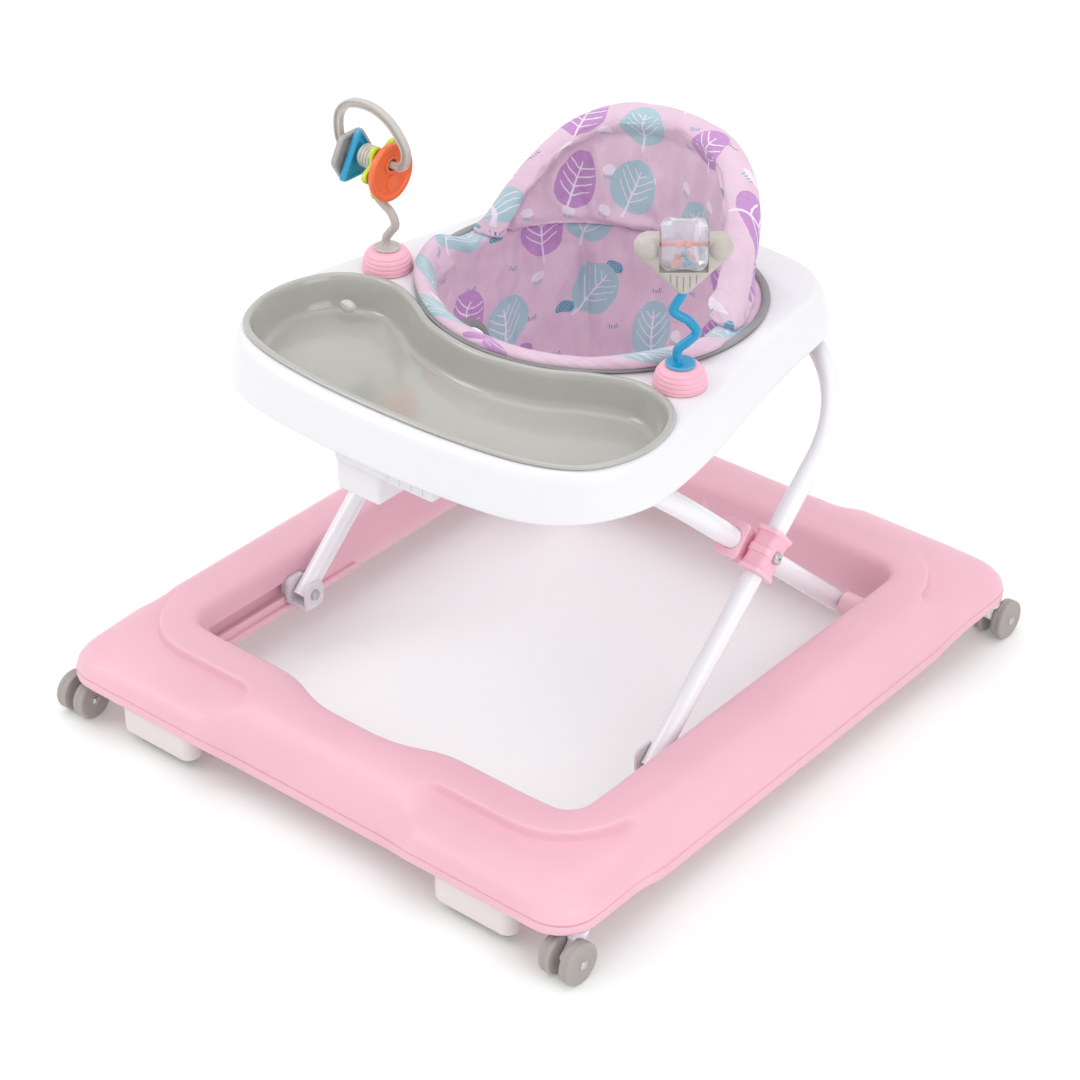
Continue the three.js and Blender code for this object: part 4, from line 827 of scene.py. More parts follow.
# ---- Sliding feet, foot rivets and rear pins ---------------------------------------------------
# A nylon shoe on each front foot carries a tongue that slides in the base's guide slot; the leg turns
# in it on a rivet. The rear feet turn on pins in the bosses of the base.
shoe_white = moulded_plastic("shoe_white", srgb(222, 216, 222), roughness=0.4, grain=0.2)
for label, side in (("left", -1), ("right", 1)):
    low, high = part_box("sliding_foot_" + label)
    near, far = (high.x, low.x) if side < 0 else (low.x, high.x)
    y_middle = (low.y + high.y) / 2
    parts = []
    cheeks = (
        (near, near + side * 0.0032), (side * (opening_half[0] - 0.0072), side * (opening_half[0] - 0.0004))
    )
    for start, stop in cheeks:
        outline = rounded_outline(high.y - low.y, high.z - low.z, 0.0085, 8)
        outline = outline + np.array((y_middle, (low.z + high.z) / 2))
        rings = []
        for x, inset in (
            (start, 0.0008),
            (start + (stop - start) * 0.25, 0),
            (start + (stop - start) * 0.75, 0),
            (stop, 0.0008),
        ):
            ring = grown(outline, -inset)
            rings.append(np.column_stack([np.full(len(ring), x), ring]))
        parts.append(lofted("cheek", rings, None, shoe_white))
    x_range = sorted((near + side * 0.001, side * (opening_half[0] - 0.001)))
    sole = block_mesh(
        "sole", (x_range[0], low.y + 0.001, low.z), (x_range[1], high.y - 0.001, low.z + 0.0042), 0.0012
    )
    x_range = sorted((side * (opening_half[0] - 0.001), far))
    tongue = block_mesh(
        "tongue",
        (x_range[0], y_middle - 0.011, foot_z - 0.008),
        (x_range[1], y_middle + 0.011, foot_z + 0.008),
        0.0015,
    )
    for part in (sole, tongue):
        part.data.materials.append(shoe_white)
    shoe = joined("sliding_shoe_" + label, parts + [sole, tongue])
    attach(shoe, "foot_" + label)
    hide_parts("sliding_foot_" + label)
    low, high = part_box("foot_rivet_" + label)
    inner_end = low.x if side > 0 else high.x
    outer_end = high.x if side > 0 else low.x
    profile = [
        (0, inner_end - side * 0.0006), (0.0032, inner_end - side * 0.0003),
        (0.0052, inner_end + side * 0.0008),
    ]
    profile += [
        (0.0056, inner_end + side * 0.0024), (0.003, inner_end + side * 0.0026), (0.003, outer_end),
        (0, outer_end),
    ]
    rivet = lathed(
        "shoe_rivet_" + label, profile, (0, y_middle, foot_z), "x", "foot_" + label, plated_steel, 36
    )
    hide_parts("foot_rivet_" + label)
    low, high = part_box("rear_pin_" + label)
    inner_end = low.x if side > 0 else high.x
    outer_end = high.x if side > 0 else low.x
    profile = [
        (0, inner_end - side * 0.0004), (0.0045, inner_end), (0.0068, inner_end + side * 0.0012),
        (0.007, inner_end + side * 0.0032),
    ]
    profile += [
        (0.004, inner_end + side * 0.0034), (0.004, outer_end - side * 0.001), (0.003, outer_end),
        (0, outer_end),
    ]
    pin = lathed(
        "pivot_pin_" + label, profile, (0, rear_pivot[1], rear_pivot[2]), "x", "base", plated_steel, 36
    )
    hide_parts("rear_pin_" + label)


# ---- Tray --------------------------------------------------------------------------------------
# The white polypropylene top: one thin moulding with a rounded edge and a deep skirt, a pocket for
# the snack tray and a hole for the seat, with two bearings under it that hold the outer leg's bar.
def both_sides(half, count):
    """A closed outline from the points of its right half, front to back."""
    half = [(x * MM, y * MM) for x, y in half]
    left = [(-x, y) for x, y in half if x > 0][::-1]
    return curved(half + left, count, closed=True)


def flat_normals(outline):
    """Smoothed outward directions of a closed outline, safe where it turns inwards."""
    along = np.roll(outline, -2, axis=0) - np.roll(outline, 2, axis=0)
    along /= np.linalg.norm(along, axis=1)[:, None]
    return np.column_stack([along[:, 1], -along[:, 0]])


def combined(piece, other):
    """Two closed meshes as one."""
    return cut(piece, other, "UNION", 34)


def refinished(piece, name, material):
    """Gives a piece that was cut or joined its name, its one finish and its shading."""
    piece.data.materials.clear()
    piece.data.materials.append(material)
    piece.name = name
    finish_mesh(piece, 34)
    return piece


TRAY_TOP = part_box("tray_body")[1].z
SKIRT_BOTTOM = TRAY_TOP - 0.045
TRAY_OUTLINE = both_sides(
    [
        (0, -250), (95, -246), (165, -233), (207, -202), (229, -158), (232, -115), (222, -45),
        (200, 50), (184, 130), (171, 196), (136, 230), (85, 241), (0, 244),
    ],
    260,
)
SNACK_OUTLINE = both_sides(
    [
        (0, -228), (80, -225), (150, -214), (194, -192), (214, -154), (215, -113), (199, -77),
        (170, -58), (140, -55), (105, -68), (62, -91), (0, -102),
    ],
    240,
)
SEAT_CENTRE = np.array((0, 0.060))


def seat_outline(count):
    """The seat hole's outline, from the front, anticlockwise."""
    turn = np.linspace(-math.pi / 2, 1.5 * math.pi, count, endpoint=False)
    c, s = np.cos(turn), np.sin(turn)
    behind = s > 0
    x = 0.162 * np.sign(c) * np.abs(c) ** np.where(behind, 0.86, 1)
    y = np.where(behind, 0.143, 0.152) * np.sign(s) * np.abs(s) ** np.where(behind, 0.94, 1)
    return np.column_stack([x, y]) + SEAT_CENTRE


tray_white = moulded_plastic(
    "tray_white", srgb(234, 233, 237), roughness=0.3, grain=0.05, coat=0.2, worn=0.0, flow_marks=0.008
)
skin = [
    (0.0, -0.6), (0.4, 0.6), (1.4, 1.5), (3.0, 1.8), (9.0, 1.3), (18.0, -0.4), (26.0, -2.4), (32.0, -4.0)
]
skin += [(36.6, -5.5), (39.8, -7.0), (42.2, -8.7), (43.8, -10.6), (44.7, -12.6), (45.0, -14.8)]
levels = [(SKIRT_BOTTOM + z * MM, growth * MM) for z, growth in skin]
tray = stacked("tray_top", TRAY_OUTLINE, levels, None, tray_white)
hollow = [(SKIRT_BOTTOM - 0.004, -0.0022)] + [(z - 0.0026, growth - 0.0028) for z, growth in levels[3:]]
tray = cut(tray, stacked("tray_hollow", TRAY_OUTLINE, hollow, None, None))
POCKET_FLOOR = TRAY_TOP - 0.033
pocket = stacked(
    "pocket", SNACK_OUTLINE, [(POCKET_FLOOR - 0.003, 0.003), (TRAY_TOP - 0.0016, 0.0026)], None, None
)
tray = combined(tray, pocket)
tray = cut(
    tray, stacked("pocket_hollow", SNACK_OUTLINE, [(POCKET_FLOOR, 0), (TRAY_TOP + 0.001, 0)], None, None)
)
seat_hole = seat_outline(160)
collar = stacked(
    "seat_collar", seat_hole, [(TRAY_TOP - 0.021, 0.003), (TRAY_TOP - 0.001, 0.003)], None, None
)
tray = combined(tray, collar)
flare = [
    (TRAY_TOP - 0.04, 0.0), (TRAY_TOP - 0.0022, 0.0), (TRAY_TOP - 0.0008, 0.0005),
    (TRAY_TOP + 0.0002, 0.0022), (TRAY_TOP + 0.002, 0.003),
]
tray = cut(tray, stacked("seat_hole", seat_hole, flare, None, None))
for side in (-1, 1):
    bearing_x = sorted((side * 0.055, side * 0.085))
    bearing = block_mesh(
        "bearing", (bearing_x[0], 0.193, tray_bar[2] - 0.015), (bearing_x[1], 0.221, TRAY_TOP - 0.001), 0.003
    )
    tray = combined(tray, bearing)
tray = cut(
    tray,
    rod_mesh(
        "bar_bore",
        (-0.1, tray_bar[1], tray_bar[2]),
        (0.1, tray_bar[1], tray_bar[2]),
        OUTER_RADIUS + 0.0005,
        48,
    ),
)
dome_at = np.array(joints["rattle_toy_turn"]["pos_m"])
for side in (-1, 1):
    seat = (side * dome_at[0], dome_at[1])
    tray = cut(tray, rod_mesh("dome_hole", (*seat, TRAY_TOP - 0.02), (*seat, TRAY_TOP + 0.005), 0.0094, 40))
tray.name = "tray_top"
finish_mesh(tray, 34)
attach(tray, "tray")
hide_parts("tray_body")


# ---- Snack tray --------------------------------------------------------------------------------
# A glossy warm-grey dish that drops into the tray's pocket on a rounded lip. Its floor is polished
# enough to mirror the toys, and there is a small oval finger mark at its left-hand end.
snack_grey = moulded_plastic(
    "snack_grey", srgb(176, 175, 169), roughness=0.14, grain=0.04, coat=0.8, worn=0.25
)
dish = [
    (-32.6, -16), (-32.2, -10.5), (-30.6, -7), (-27, -4.9), (-20, -3.3), (-4, -1.7), (0.6, -1.2), (0.8, 0.6),
    (0.7, 3.4),
]
dish += [
    (1.0, 4.2), (1.8, 4.5), (2.9, 3.9), (3.7, 2.6), (4.0, 1.0), (3.8, -0.6), (3.0, -1.9), (1.6, -2.8),
    (-2, -4.0),
]
dish += [
    (-10, -5.8), (-18, -7.8), (-23, -9.3), (-26, -10.9), (-28, -13.2), (-29.1, -16.4), (-29.5, -20.5),
    (-29.6, -34),
]
levels = [(TRAY_TOP + z * MM, growth * MM) for z, growth in dish]
directions = flat_normals(SNACK_OUTLINE)
rings = []
for z, growth in levels:
    rings.append(np.column_stack([SNACK_OUTLINE + directions * growth, np.full(len(SNACK_OUTLINE), z)]))
snack = lofted("snack_dish", rings, "snack_tray", snack_grey, 60)
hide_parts("snack_tray")
tab_profile = [
    (0, 0.0012), (0.0042, 0.00115), (0.0053, 0.0008), (0.0058, 0.0002), (0.006, -0.0006), (0, -0.0006)
]
finger_mark = lathed("finger_mark", tab_profile, (0, 0, 0), "z", None, snack_grey, 40)
for vertex in finger_mark.data.vertices:
    x, y, z = vertex.co
    vertex.co = (-0.168 + x * 1.7, -0.0885 + y * 0.62 - 0.5 * z, TRAY_TOP - 0.0145 + z + y * 0.78)
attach(finger_mark, "snack_tray")


# ---- Slide housing and height latch ------------------------------------------------------------
# A ribbed white box under the tray that the inner leg's bar slides in, with a grey finger latch in
# a well at its front left that locks the height.
low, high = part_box("slide_housing")
split = low.z + 0.0275
housing = block_mesh("slide_housing_box", (low.x, low.y, split), (high.x, high.y, high.z), 0.0035, 4)
latch_low, latch_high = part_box("height_latch")
wall = 0.0044
box_low = (latch_low.x - wall, latch_low.y - wall - 0.001, low.z)
box_high = (latch_high.x + wall, latch_high.y + wall + 0.001, split + 0.004)
housing = combined(housing, block_mesh("latch_box", box_low, box_high, 0.003, 4))
bar_z = joints["tray_level"]["pos_m"][2]
channel_half = INNER_RADIUS + 0.0006
housing = cut(
    housing,
    block_mesh(
        "channel",
        (low.x - 0.01, low.y + 0.005, bar_z - channel_half),
        (high.x + 0.01, high.y - 0.002, bar_z + channel_half),
        0.001,
    ),
)
well_low = (latch_low.x - 0.0004, latch_low.y - 0.0004, low.z - 0.005)
housing = cut(
    housing,
    block_mesh(
        "well", well_low, (latch_high.x + 0.0004, latch_high.y + 0.0004, bar_z - channel_half - 0.004), 0.001
    ),
)
for k in range(4):
    x = low.x + 0.062 + k * 0.0135
    rib = block_mesh(
        "rib", (x, low.y - 0.0012, split + 0.003), (x + 0.0028, low.y + 0.003, high.z - 0.004), 0.0006, 2
    )
    housing = combined(housing, rib)
refinished(housing, "slide_housing_box", tray_white)
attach(housing, "tray")
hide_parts("slide_housing")
toy_grey = moulded_plastic("toy_grey", srgb(192, 184, 178), roughness=0.3, grain=0.1, coat=0.3)
latch = block_mesh("height_latch_button", latch_low, latch_high, 0.003, 4)
latch.data.materials.append(toy_grey)
latch = cut(
    latch,
    rod_mesh(
        "grip",
        (latch_low.x + 0.006, (latch_low.y + latch_high.y) / 2, latch_low.z - 0.003),
        (latch_high.x - 0.006, (latch_low.y + latch_high.y) / 2, latch_low.z - 0.003),
        0.009,
        40,
    ),
)
for k in range(3):
    y = latch_low.y + 0.006 + k * 0.0032
    latch = cut(
        latch,
        block_mesh(
            "grip_line",
            (latch_low.x + 0.004, y, latch_low.z - 0.002),
            (latch_high.x - 0.004, y + 0.0014, latch_low.z + 0.0008),
        ),
    )
finish_mesh(latch, 34)
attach(latch, "latch")
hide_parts("height_latch")


# ---- Seat binding ------------------------------------------------------------------------------
# Grey polyester webbing, folded over the edge of the seat hole and stitched to the liner under it.
class Value:
    """A number that varies over a surface, for sums between shader sockets."""

    def __init__(self, tree, socket):
        self.tree, self.socket = tree, socket

    def sum(self, operation, other=None, third=None):
        node = self.tree.nodes.new("ShaderNodeMath")
        node.operation = operation
        for place, number in zip(node.inputs, (self, other, third)):
            if isinstance(number, Value):
                self.tree.links.new(number.socket, place)
            elif number is not None:
                place.default_value = number
        return Value(self.tree, node.outputs[0])

    def __add__(self, other):
        return self.sum("ADD", other)

    def __sub__(self, other):
        return self.sum("SUBTRACT", other)

    def __mul__(self, other):
        return self.sum("MULTIPLY", other)

    def __truediv__(self, other):
        return self.sum("DIVIDE", other)

    def __lt__(self, other):
        return self.sum("LESS_THAN", other)

    def __gt__(self, other):
        return self.sum("GREATER_THAN", other)

    def size(self):
        return self.sum("ABSOLUTE")


def apart(tree, vector):
    """The parts of a vector socket, as values."""
    node = tree.nodes.new("ShaderNodeSeparateXYZ")
    tree.links.new(vector, node.inputs[0])
    return [Value(tree, output) for output in node.outputs]


def thread(place, pitch):
    """A plain weave's height, at a pitch in metres: threads over and under each other both ways."""
    across, along = (part * (math.pi / pitch) for part in place)
    over = across.sum("SINE").size() * along.sum("COSINE").size()
    under = across.sum("COSINE").size() * along.sum("SINE").size()
    return over.sum("MAXIMUM", under)


TAPE_PITCH = 0.0011
TAPE_DEPTH = 0.00025


def woven(name, colour):
    """Woven tape: threads both ways, painted shade in the dips between them, a slight fade from place to
    place.
    """
    material, tree, main, place = shader(name)
    uv = tree.nodes.new("ShaderNodeTexCoord").outputs["UV"]
    weave = thread(apart(tree, uv)[:2], TAPE_PITCH)
    # Painted shade: where the weave dips between threads the tape is painted darker, down to 0.62 of its
    # colour.
    tone = ranged(tree, weave.socket, 0.2, 0.95, 0, 1)
    cloth = mixed(tree, tone, tuple(c * 0.62 for c in colour), colour)
    fade = ranged(tree, textured(tree, "Noise", place, 30, 3), 0.35, 0.65, 0, 0.25)
    tree.links.new(
        mixed(tree, fade, cloth, tuple(min(c * 1.25, 1) for c in colour)), main.inputs["Base Color"]
    )
    main.inputs["Roughness"].default_value = 0.85
    main.inputs["Sheen Weight"].default_value = 0.2
    bumped(tree, main, weave.socket, TAPE_DEPTH, 0.8)
    return material


def grid_piece(name, grid, uv, body, material, around=False):
    """A cloth-like piece from a grid of points (rows, columns, 3) with its own flat coordinates."""
    rows, columns = grid.shape[:2]
    mesh = bpy.data.meshes.new(name)
    faces = skin_faces(rows, columns, around=around)
    mesh.from_pydata([tuple(p) for p in grid.reshape(-1, 3)], [], faces)
    layer = mesh.uv_layers.new(name="flat")
    wide = uv.shape[1]
    for loop_index, loop in enumerate(mesh.loops):
        row, column = divmod(loop.vertex_index, columns)
        face = mesh.polygons[loop_index // 4]
        if around and column == 0 and max(v % columns for v in face.vertices) > 1:
            column = wide - 1
        layer.data[loop_index].uv = uv[row, column]
    piece = bpy.data.objects.new(name, mesh)
    bpy.context.scene.collection.objects.link(piece)
    mesh.materials.append(material)
    mesh.shade_smooth()
    if body:
        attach(piece, body)
    return piece


binding_grey = woven("binding_grey", srgb(160, 158, 160))
hole = seat_outline(220)
binding_section = [
    (-0.0028, -0.017), (-0.0008, -0.017), (-0.0006, 0.0002), (0.0006, 0.0011), (0.0030, 0.0010),
    (0.0042, 0.0013),
]
binding_section += [
    (0.0046, 0.0022), (0.0040, 0.0032), (0.0020, 0.0038), (-0.0006, 0.0040), (-0.0026, 0.0036),
    (-0.0034, 0.0022), (-0.0034, -0.017), (-0.0028, -0.017),
]
grid = np.array(
    [np.column_stack([grown(hole, out), np.full(len(hole), TRAY_TOP + up)]) for out, up in binding_section]
)
around = np.linspace(0, 0.98, len(hole) + 1)
up = np.cumsum([0] + [math.dist(a, b) for a, b in zip(binding_section, binding_section[1:])])
uv = np.stack(np.meshgrid(around, up), axis=-1)
binding = grid_piece("seat_binding", grid, uv, "tray", binding_grey, around=True)
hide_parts("seat_rim")


# ---- Seat liner --------------------------------------------------------------------------------
# Printed brushed polyester over thin wadding: a bag with a leg hole each side of a narrow front
# panel, rolled over the edge of the seat hole. Its creases come from a short cloth simulation.
def turned_about(x, y, turn):
    """A place (two values) turned about the origin by an angle (a value)."""
    c, s = turn.sum("COSINE"), turn.sum("SINE")
    return x * c + y * s, y * c - x * s


def cells(tree, vector, scale, randomness, offset):
    """Scattered places: how far each point is from the nearest, and that one's three random numbers."""
    shift = tree.nodes.new("ShaderNodeVectorMath")
    shift.inputs[1].default_value = offset
    tree.links.new(vector, shift.inputs[0])
    spots = tree.nodes.new("ShaderNodeTexVoronoi")
    spots.voronoi_dimensions = "2D"
    spots.inputs["Scale"].default_value = scale
    spots.inputs["Randomness"].default_value = randomness
    tree.links.new(shift.outputs[0], spots.inputs["Vector"])
    x, y, _ = apart(tree, shift.outputs[0])
    near_x, near_y, _ = apart(tree, spots.outputs["Position"])
    return (x - near_x, y - near_y), apart(tree, spots.outputs["Color"])


MARK_SPACING = 0.044
LEAF_SPACING = 0.078
CLOTH_PITCH = 0.0007


def printed_fabric(name):
    """A pink ground printed with veined leaves, grass, white tufts and ringed pebbles."""
    material, tree, main, _ = shader(name)
    uv = tree.nodes.new("ShaderNodeTexCoord").outputs["UV"]
    wobble = tree.nodes.new("ShaderNodeVectorMath")
    wobble.operation = "MULTIPLY_ADD"
    tree.links.new(textured(tree, "Noise", uv, 160, 2, output=1), wobble.inputs[0])
    wobble.inputs[1].default_value = (0.0016, 0.0016, 0)
    tree.links.new(uv, wobble.inputs[2])
    drawn = wobble.outputs[0]

    patch = ranged(tree, textured(tree, "Noise", uv, 22, 3), 0.3, 0.7, 0, 1)
    ground = mixed(tree, patch, srgb(220, 187, 209), srgb(230, 200, 219))
    # Small marks: dashes of grass, white tufts with teal grass, dark pebbles ringed like a maze.
    (x, y), (pick, tilt, _) = cells(tree, drawn, 1 / MARK_SPACING, 0.5, (0.31, 0.17, 0))
    lean = (tilt - 0.5) * 0.8
    x, y = turned_about(x, y, lean)
    dashes = ((x / 0.0023).sum("FRACT") - 0.5).size() < 0.19
    blade_height = (x * 330).sum("SINE").size() * 0.0026 + 0.0016
    blade = dashes * (x.size() < 0.0056) * (y > -0.001) * (y < blade_height)
    grass = blade * (pick < 0.42)
    tuft_shape = (x * x + y * y * 1.7).sum("SQRT")
    fluff = Value(tree, textured(tree, "Noise", uv, 700, 2)) * 0.0034
    tuft = ((tuft_shape + fluff) < 0.0088) * (pick > 0.42) * (pick < 0.72)
    under = dashes * (x.size() < 0.0042) * (y > -0.0085) * (y < -0.0042) * (pick > 0.42) * (pick < 0.72)
    pebble_reach = (x * x * 0.62 + (y + 0.001) * (y + 0.001) * 1.25).sum("SQRT")
    pebble = (pebble_reach < 0.0078) * (pick > 0.72) * (y > -0.0052)
    maze = ((pebble_reach / 0.0021 + (x / 0.007).sum("FLOOR") * 0.5).sum("FRACT") - 0.5).size() < 0.16
    colour = mixed(tree, tuft.socket, ground, srgb(238, 226, 238))
    colour = mixed(tree, under.socket, colour, srgb(98, 168, 188))
    colour = mixed(tree, grass.socket, colour, srgb(72, 112, 165))
    colour = mixed(tree, pebble.socket, colour, srgb(72, 136, 168))
    colour = mixed(tree, (pebble * maze).socket, colour, srgb(150, 196, 214))
    # Large leaves: an orchid egg with a fishbone of veins, or a rounder teal one with a forked branch.
    (x, y), (pick, tilt, _) = cells(tree, drawn, 1 / LEAF_SPACING, 0.42, (0.02, 0.045, 0))
    x, y = turned_about(x, y, (tilt - 0.5) * 1.1)
    round_leaf = pick > 0.52
    half_width = round_leaf * 0.0035 + 0.0215
    half_height = round_leaf * -0.0025 + 0.0290
    taper = y / half_height * (round_leaf * 0.16 - 0.24) + 1
    out_x = x / (half_width * taper)
    out_y = y / half_height
    leaf = (out_x * out_x + out_y * out_y) < 1
    trunk = (x.size() < y * -0.012 + 0.00085) * (y < half_height * 0.62) * (y > half_height * -1.28)
    rising = y - x.size() * (round_leaf * 0.35 + 0.45) - x * x * 16
    ribs = ((rising / 0.0092).sum("FRACT") - 0.5).size() > (round_leaf * 0.012 + 0.41)
    rib_reach = half_width * (round_leaf * -0.1 + 0.84) * taper * (y * 8 + 0.92)
    ribs = ribs * (x.size() < rib_reach) * (y < half_height * 0.62) * leaf
    ribs = ribs * (rising > half_height * -0.82)
    veins = trunk.sum("MAXIMUM", ribs)
    leaf_tone = mixed(tree, round_leaf.socket, srgb(187, 126, 194), srgb(158, 197, 206))
    faded = ranged(tree, textured(tree, "Noise", uv, 260, 3), 0.25, 0.75, 0, 0.22)
    leaf_tone = mixed(tree, faded, leaf_tone, srgb(214, 190, 214))
    colour = mixed(tree, leaf.socket, colour, leaf_tone)
    colour = mixed(tree, veins.socket, colour, srgb(236, 224, 238))

    weave = thread(apart(tree, uv)[:2], CLOTH_PITCH)
    # Painted highlight: the raised threads of the weave are painted paler, up to a tenth of the way to
    # near-white.
    shade = ranged(tree, weave.socket, 0.2, 0.95, 0, 0.10)
    colour = mixed(tree, shade, colour, srgb(255, 250, 255))
    tree.links.new(colour, main.inputs["Base Color"])
    main.inputs["Roughness"].default_value = 0.82
    main.inputs["Sheen Weight"].default_value = 0.22
    main.inputs["Sheen Roughness"].default_value = 0.45
    soft = tree.nodes.new("ShaderNodeMapping")
    soft.inputs["Scale"].default_value = (1.7, 0.7, 1)
    tree.links.new(uv, soft.inputs["Vector"])
    rumple = Value(tree, textured(tree, "Noise", soft.outputs["Vector"], 34, 3)) + weave * 0.03
    bumped(tree, main, rumple.socket, 0.0055, 0.65)
    return material


def wrinkled(piece, pins, frames, growth, pressure, cap):
    """Lets a piece buckle as cloth, cut a little larger than its shape; pins holds 0 to 1 for each point."""
    start = np.array([v.co for v in piece.data.vertices])
    group = piece.vertex_groups.new(name="held")
    for index, weight in enumerate(pins):
        group.add([index], float(weight), "REPLACE")
    cloth = piece.modifiers.new("cloth", "CLOTH")
    settings = cloth.settings
    settings.quality = 6
    settings.mass = 0.25
    settings.tension_stiffness = 14
    settings.compression_stiffness = 14
    settings.bending_stiffness = 0.25
    settings.shrink_min = -growth
    settings.shrink_max = -growth
    settings.effector_weights.gravity = 0.15
    settings.use_pressure = pressure != 0
    settings.uniform_pressure_force = pressure
    settings.vertex_group_mass = group.name
    settings.pin_stiffness = 1.0
    cloth.collision_settings.use_collision = False
    cloth.collision_settings.use_self_collision = False
    scene = bpy.context.scene
    for frame_number in range(1, frames + 1):
        scene.frame_set(frame_number)
    moved = piece.evaluated_get(bpy.context.evaluated_depsgraph_get())
    end = np.array([v.co for v in moved.data.vertices])
    piece.modifiers.clear()
    piece.vertex_groups.clear()
    shift = end - start
    reach = np.linalg.norm(shift, axis=1)
    limited = cap * np.tanh(reach / cap) / np.maximum(reach, 1e-9)
    for vertex, place in zip(piece.data.vertices, start + shift * limited[:, None]):
        vertex.co = place
    scene.frame_set(1)


def soften(piece):
    """One level of subdivision, applied, with the flat coordinates kept."""
    sub = piece.modifiers.new("soft", "SUBSURF")
    sub.levels = 1
    sub.render_levels = 1
    settle(piece, 80)


fabric = printed_fabric("seat_fabric")
LINER_COLUMNS = 176
LINER_ROLL = 9
liner_rim = seat_outline(LINER_COLUMNS)
liner_turn = np.linspace(-math.pi / 2, 1.5 * math.pi, LINER_COLUMNS, endpoint=False)
in_front_of_pad = smooth_share((0.05 - np.sin(liner_turn)) / 0.3)
wing = smooth_share((np.abs(np.cos(liner_turn)) - 0.55) / 0.35) * in_front_of_pad
# Height above the tray and distance in from the hole's edge, over the roll and down into the bag.
roll = [
    (0.7, 1.0), (4.0, -3.4), (8.0, -2.6), (10.6, 1.5), (11.0, 6.5), (9.0, 11.5), (4.6, 14.4), (-1.5, 15.2),
    (-9, 14.6),
]
bag = [
    (-19, 13.5), (-30, 14.5), (-42, 17.5), (-55, 23), (-68, 30), (-80, 38), (-92, 47), (-104, 57),
    (-114, 67), (-123, 78), (-131, 91), (-137, 106), (-140, 122), (-141.5, 136), (-142, 148),
]
rows = []
for index, (rise, inset) in enumerate(roll + bag):
    lift = rise * (1 + 0.65 * wing) if rise > 0 else np.full(LINER_COLUMNS, float(rise))
    if rise > 0:
        lift = lift * (0.28 + 0.72 * in_front_of_pad) + 0.4
    behind = 1 - in_front_of_pad
    drawn_in = min(index / 3, 1) * 14.0 * (1 if rise > 0 else math.exp(rise / 60))
    reach = inset + behind * drawn_in - 3.5 * wing * (index < LINER_ROLL) * (rise > 3)
    to_rim = np.linalg.norm(liner_rim - SEAT_CENTRE, axis=1)[:, None]
    scaled = (liner_rim - SEAT_CENTRE) * (1 - np.minimum(reach, 150)[:, None] * MM / to_rim)
    rows.append(np.column_stack([scaled + SEAT_CENTRE, TRAY_TOP + lift * MM]))
liner_rows = np.array(rows)
# Spread the rows evenly down the bag.
depth_count = 46
fine = np.zeros((depth_count, LINER_COLUMNS, 3))
for column in range(LINER_COLUMNS):
    fine[:, column] = curved(liner_rows[:, column], depth_count)
rim_steps = np.linalg.norm(np.diff(np.vstack([liner_rim, liner_rim[:1]]), axis=0), axis=1)
liner_u = np.concatenate([[0], np.cumsum(rim_steps)])
depth_length = np.linalg.norm(np.diff(fine, axis=0), axis=2).mean(axis=1)
liner_v = -np.concatenate([[0], np.cumsum(depth_length)])
girth = np.linalg.norm((fine - np.array((*SEAT_CENTRE, 0))) * (1, 1, 0), axis=2).mean(axis=1)
uv = np.stack(np.meshgrid(liner_u, liner_v), axis=-1)
uv[:, :, 0] = (uv[:, :, 0] - liner_u[-1] / 2) * (girth / girth[0])[:, None]
# Soft vertical folds, deeper towards the bottom, and four seams that run down the bag.
depth_share = np.linspace(0, 1, depth_count)[:, None]
fold = 0
for waves, phase, size in ((9, 0.4, 1.9), (14, 1.9, 1.5), (23, 0.7, 1.0)):
    fold = fold + size * np.sin(waves * liner_turn[None, :] + phase + 2.2 * depth_share)
fold = fold * MM * smooth_share((depth_share - 0.2) / 0.5)
wide = np.array(
    [
        [noise.noise(Vector((9 * math.cos(t), 9 * math.sin(t), 7 * d))) for t in liner_turn]
        for d in depth_share[:, 0]
    ]
)
centre_line = np.array((0, SEAT_CENTRE[1], TRAY_TOP - 0.05))
inwards = centre_line - fine
inwards[:, :, 2] *= 0.3
inwards /= np.linalg.norm(inwards, axis=2)[:, :, None]
seam_gap = np.minimum.reduce(
    [
        np.abs(np.angle(np.exp(1j * (liner_turn[None, :] - (start + slant * depth_share))))) * 0.13
        for start, slant in zip(np.radians((-28, 208, 52, 128)), (-0.55, 0.55, 0.12, -0.12))
    ]
)
crease = np.exp(-((seam_gap / 0.0045) ** 2)) * smooth_share((depth_share - 0.22) / 0.08)
puff = 1 - np.exp(-((seam_gap / 0.016) ** 2))
sunk = fold + wide * 0.0042 * smooth_share(depth_share / 0.3)
sunk = sunk + puff * 0.0035 * (depth_share > 0.2) - crease * 0.0042
fine = fine + inwards * sunk[:, :, None]
liner = grid_piece("seat_liner", fine, uv, None, fabric, around=True)
# Leg holes: faces inside a slanted oval come away, and their edge is drawn onto the oval.
shape = bmesh.new()
shape.from_mesh(liner.data)
HOLE_TURN, HOLE_HALF_TURN = math.radians(34), math.radians(31)
HOLE_Z, HOLE_HALF_HEIGHT = TRAY_TOP - 0.092, 0.040


def hole_reach(point):
    """How far a point of the bag is from a leg hole's middle, 1 at the hole's edge."""
    turn = math.atan2(SEAT_CENTRE[1] - point.y, abs(point.x))
    across = (turn - HOLE_TURN) / HOLE_HALF_TURN
    up = (point.z - HOLE_Z + 0.012 * across) / HOLE_HALF_HEIGHT
    power = 1.35 if across < 0 else 2.0
    return (abs(across) ** power + abs(up) ** power) ** (1 / power)


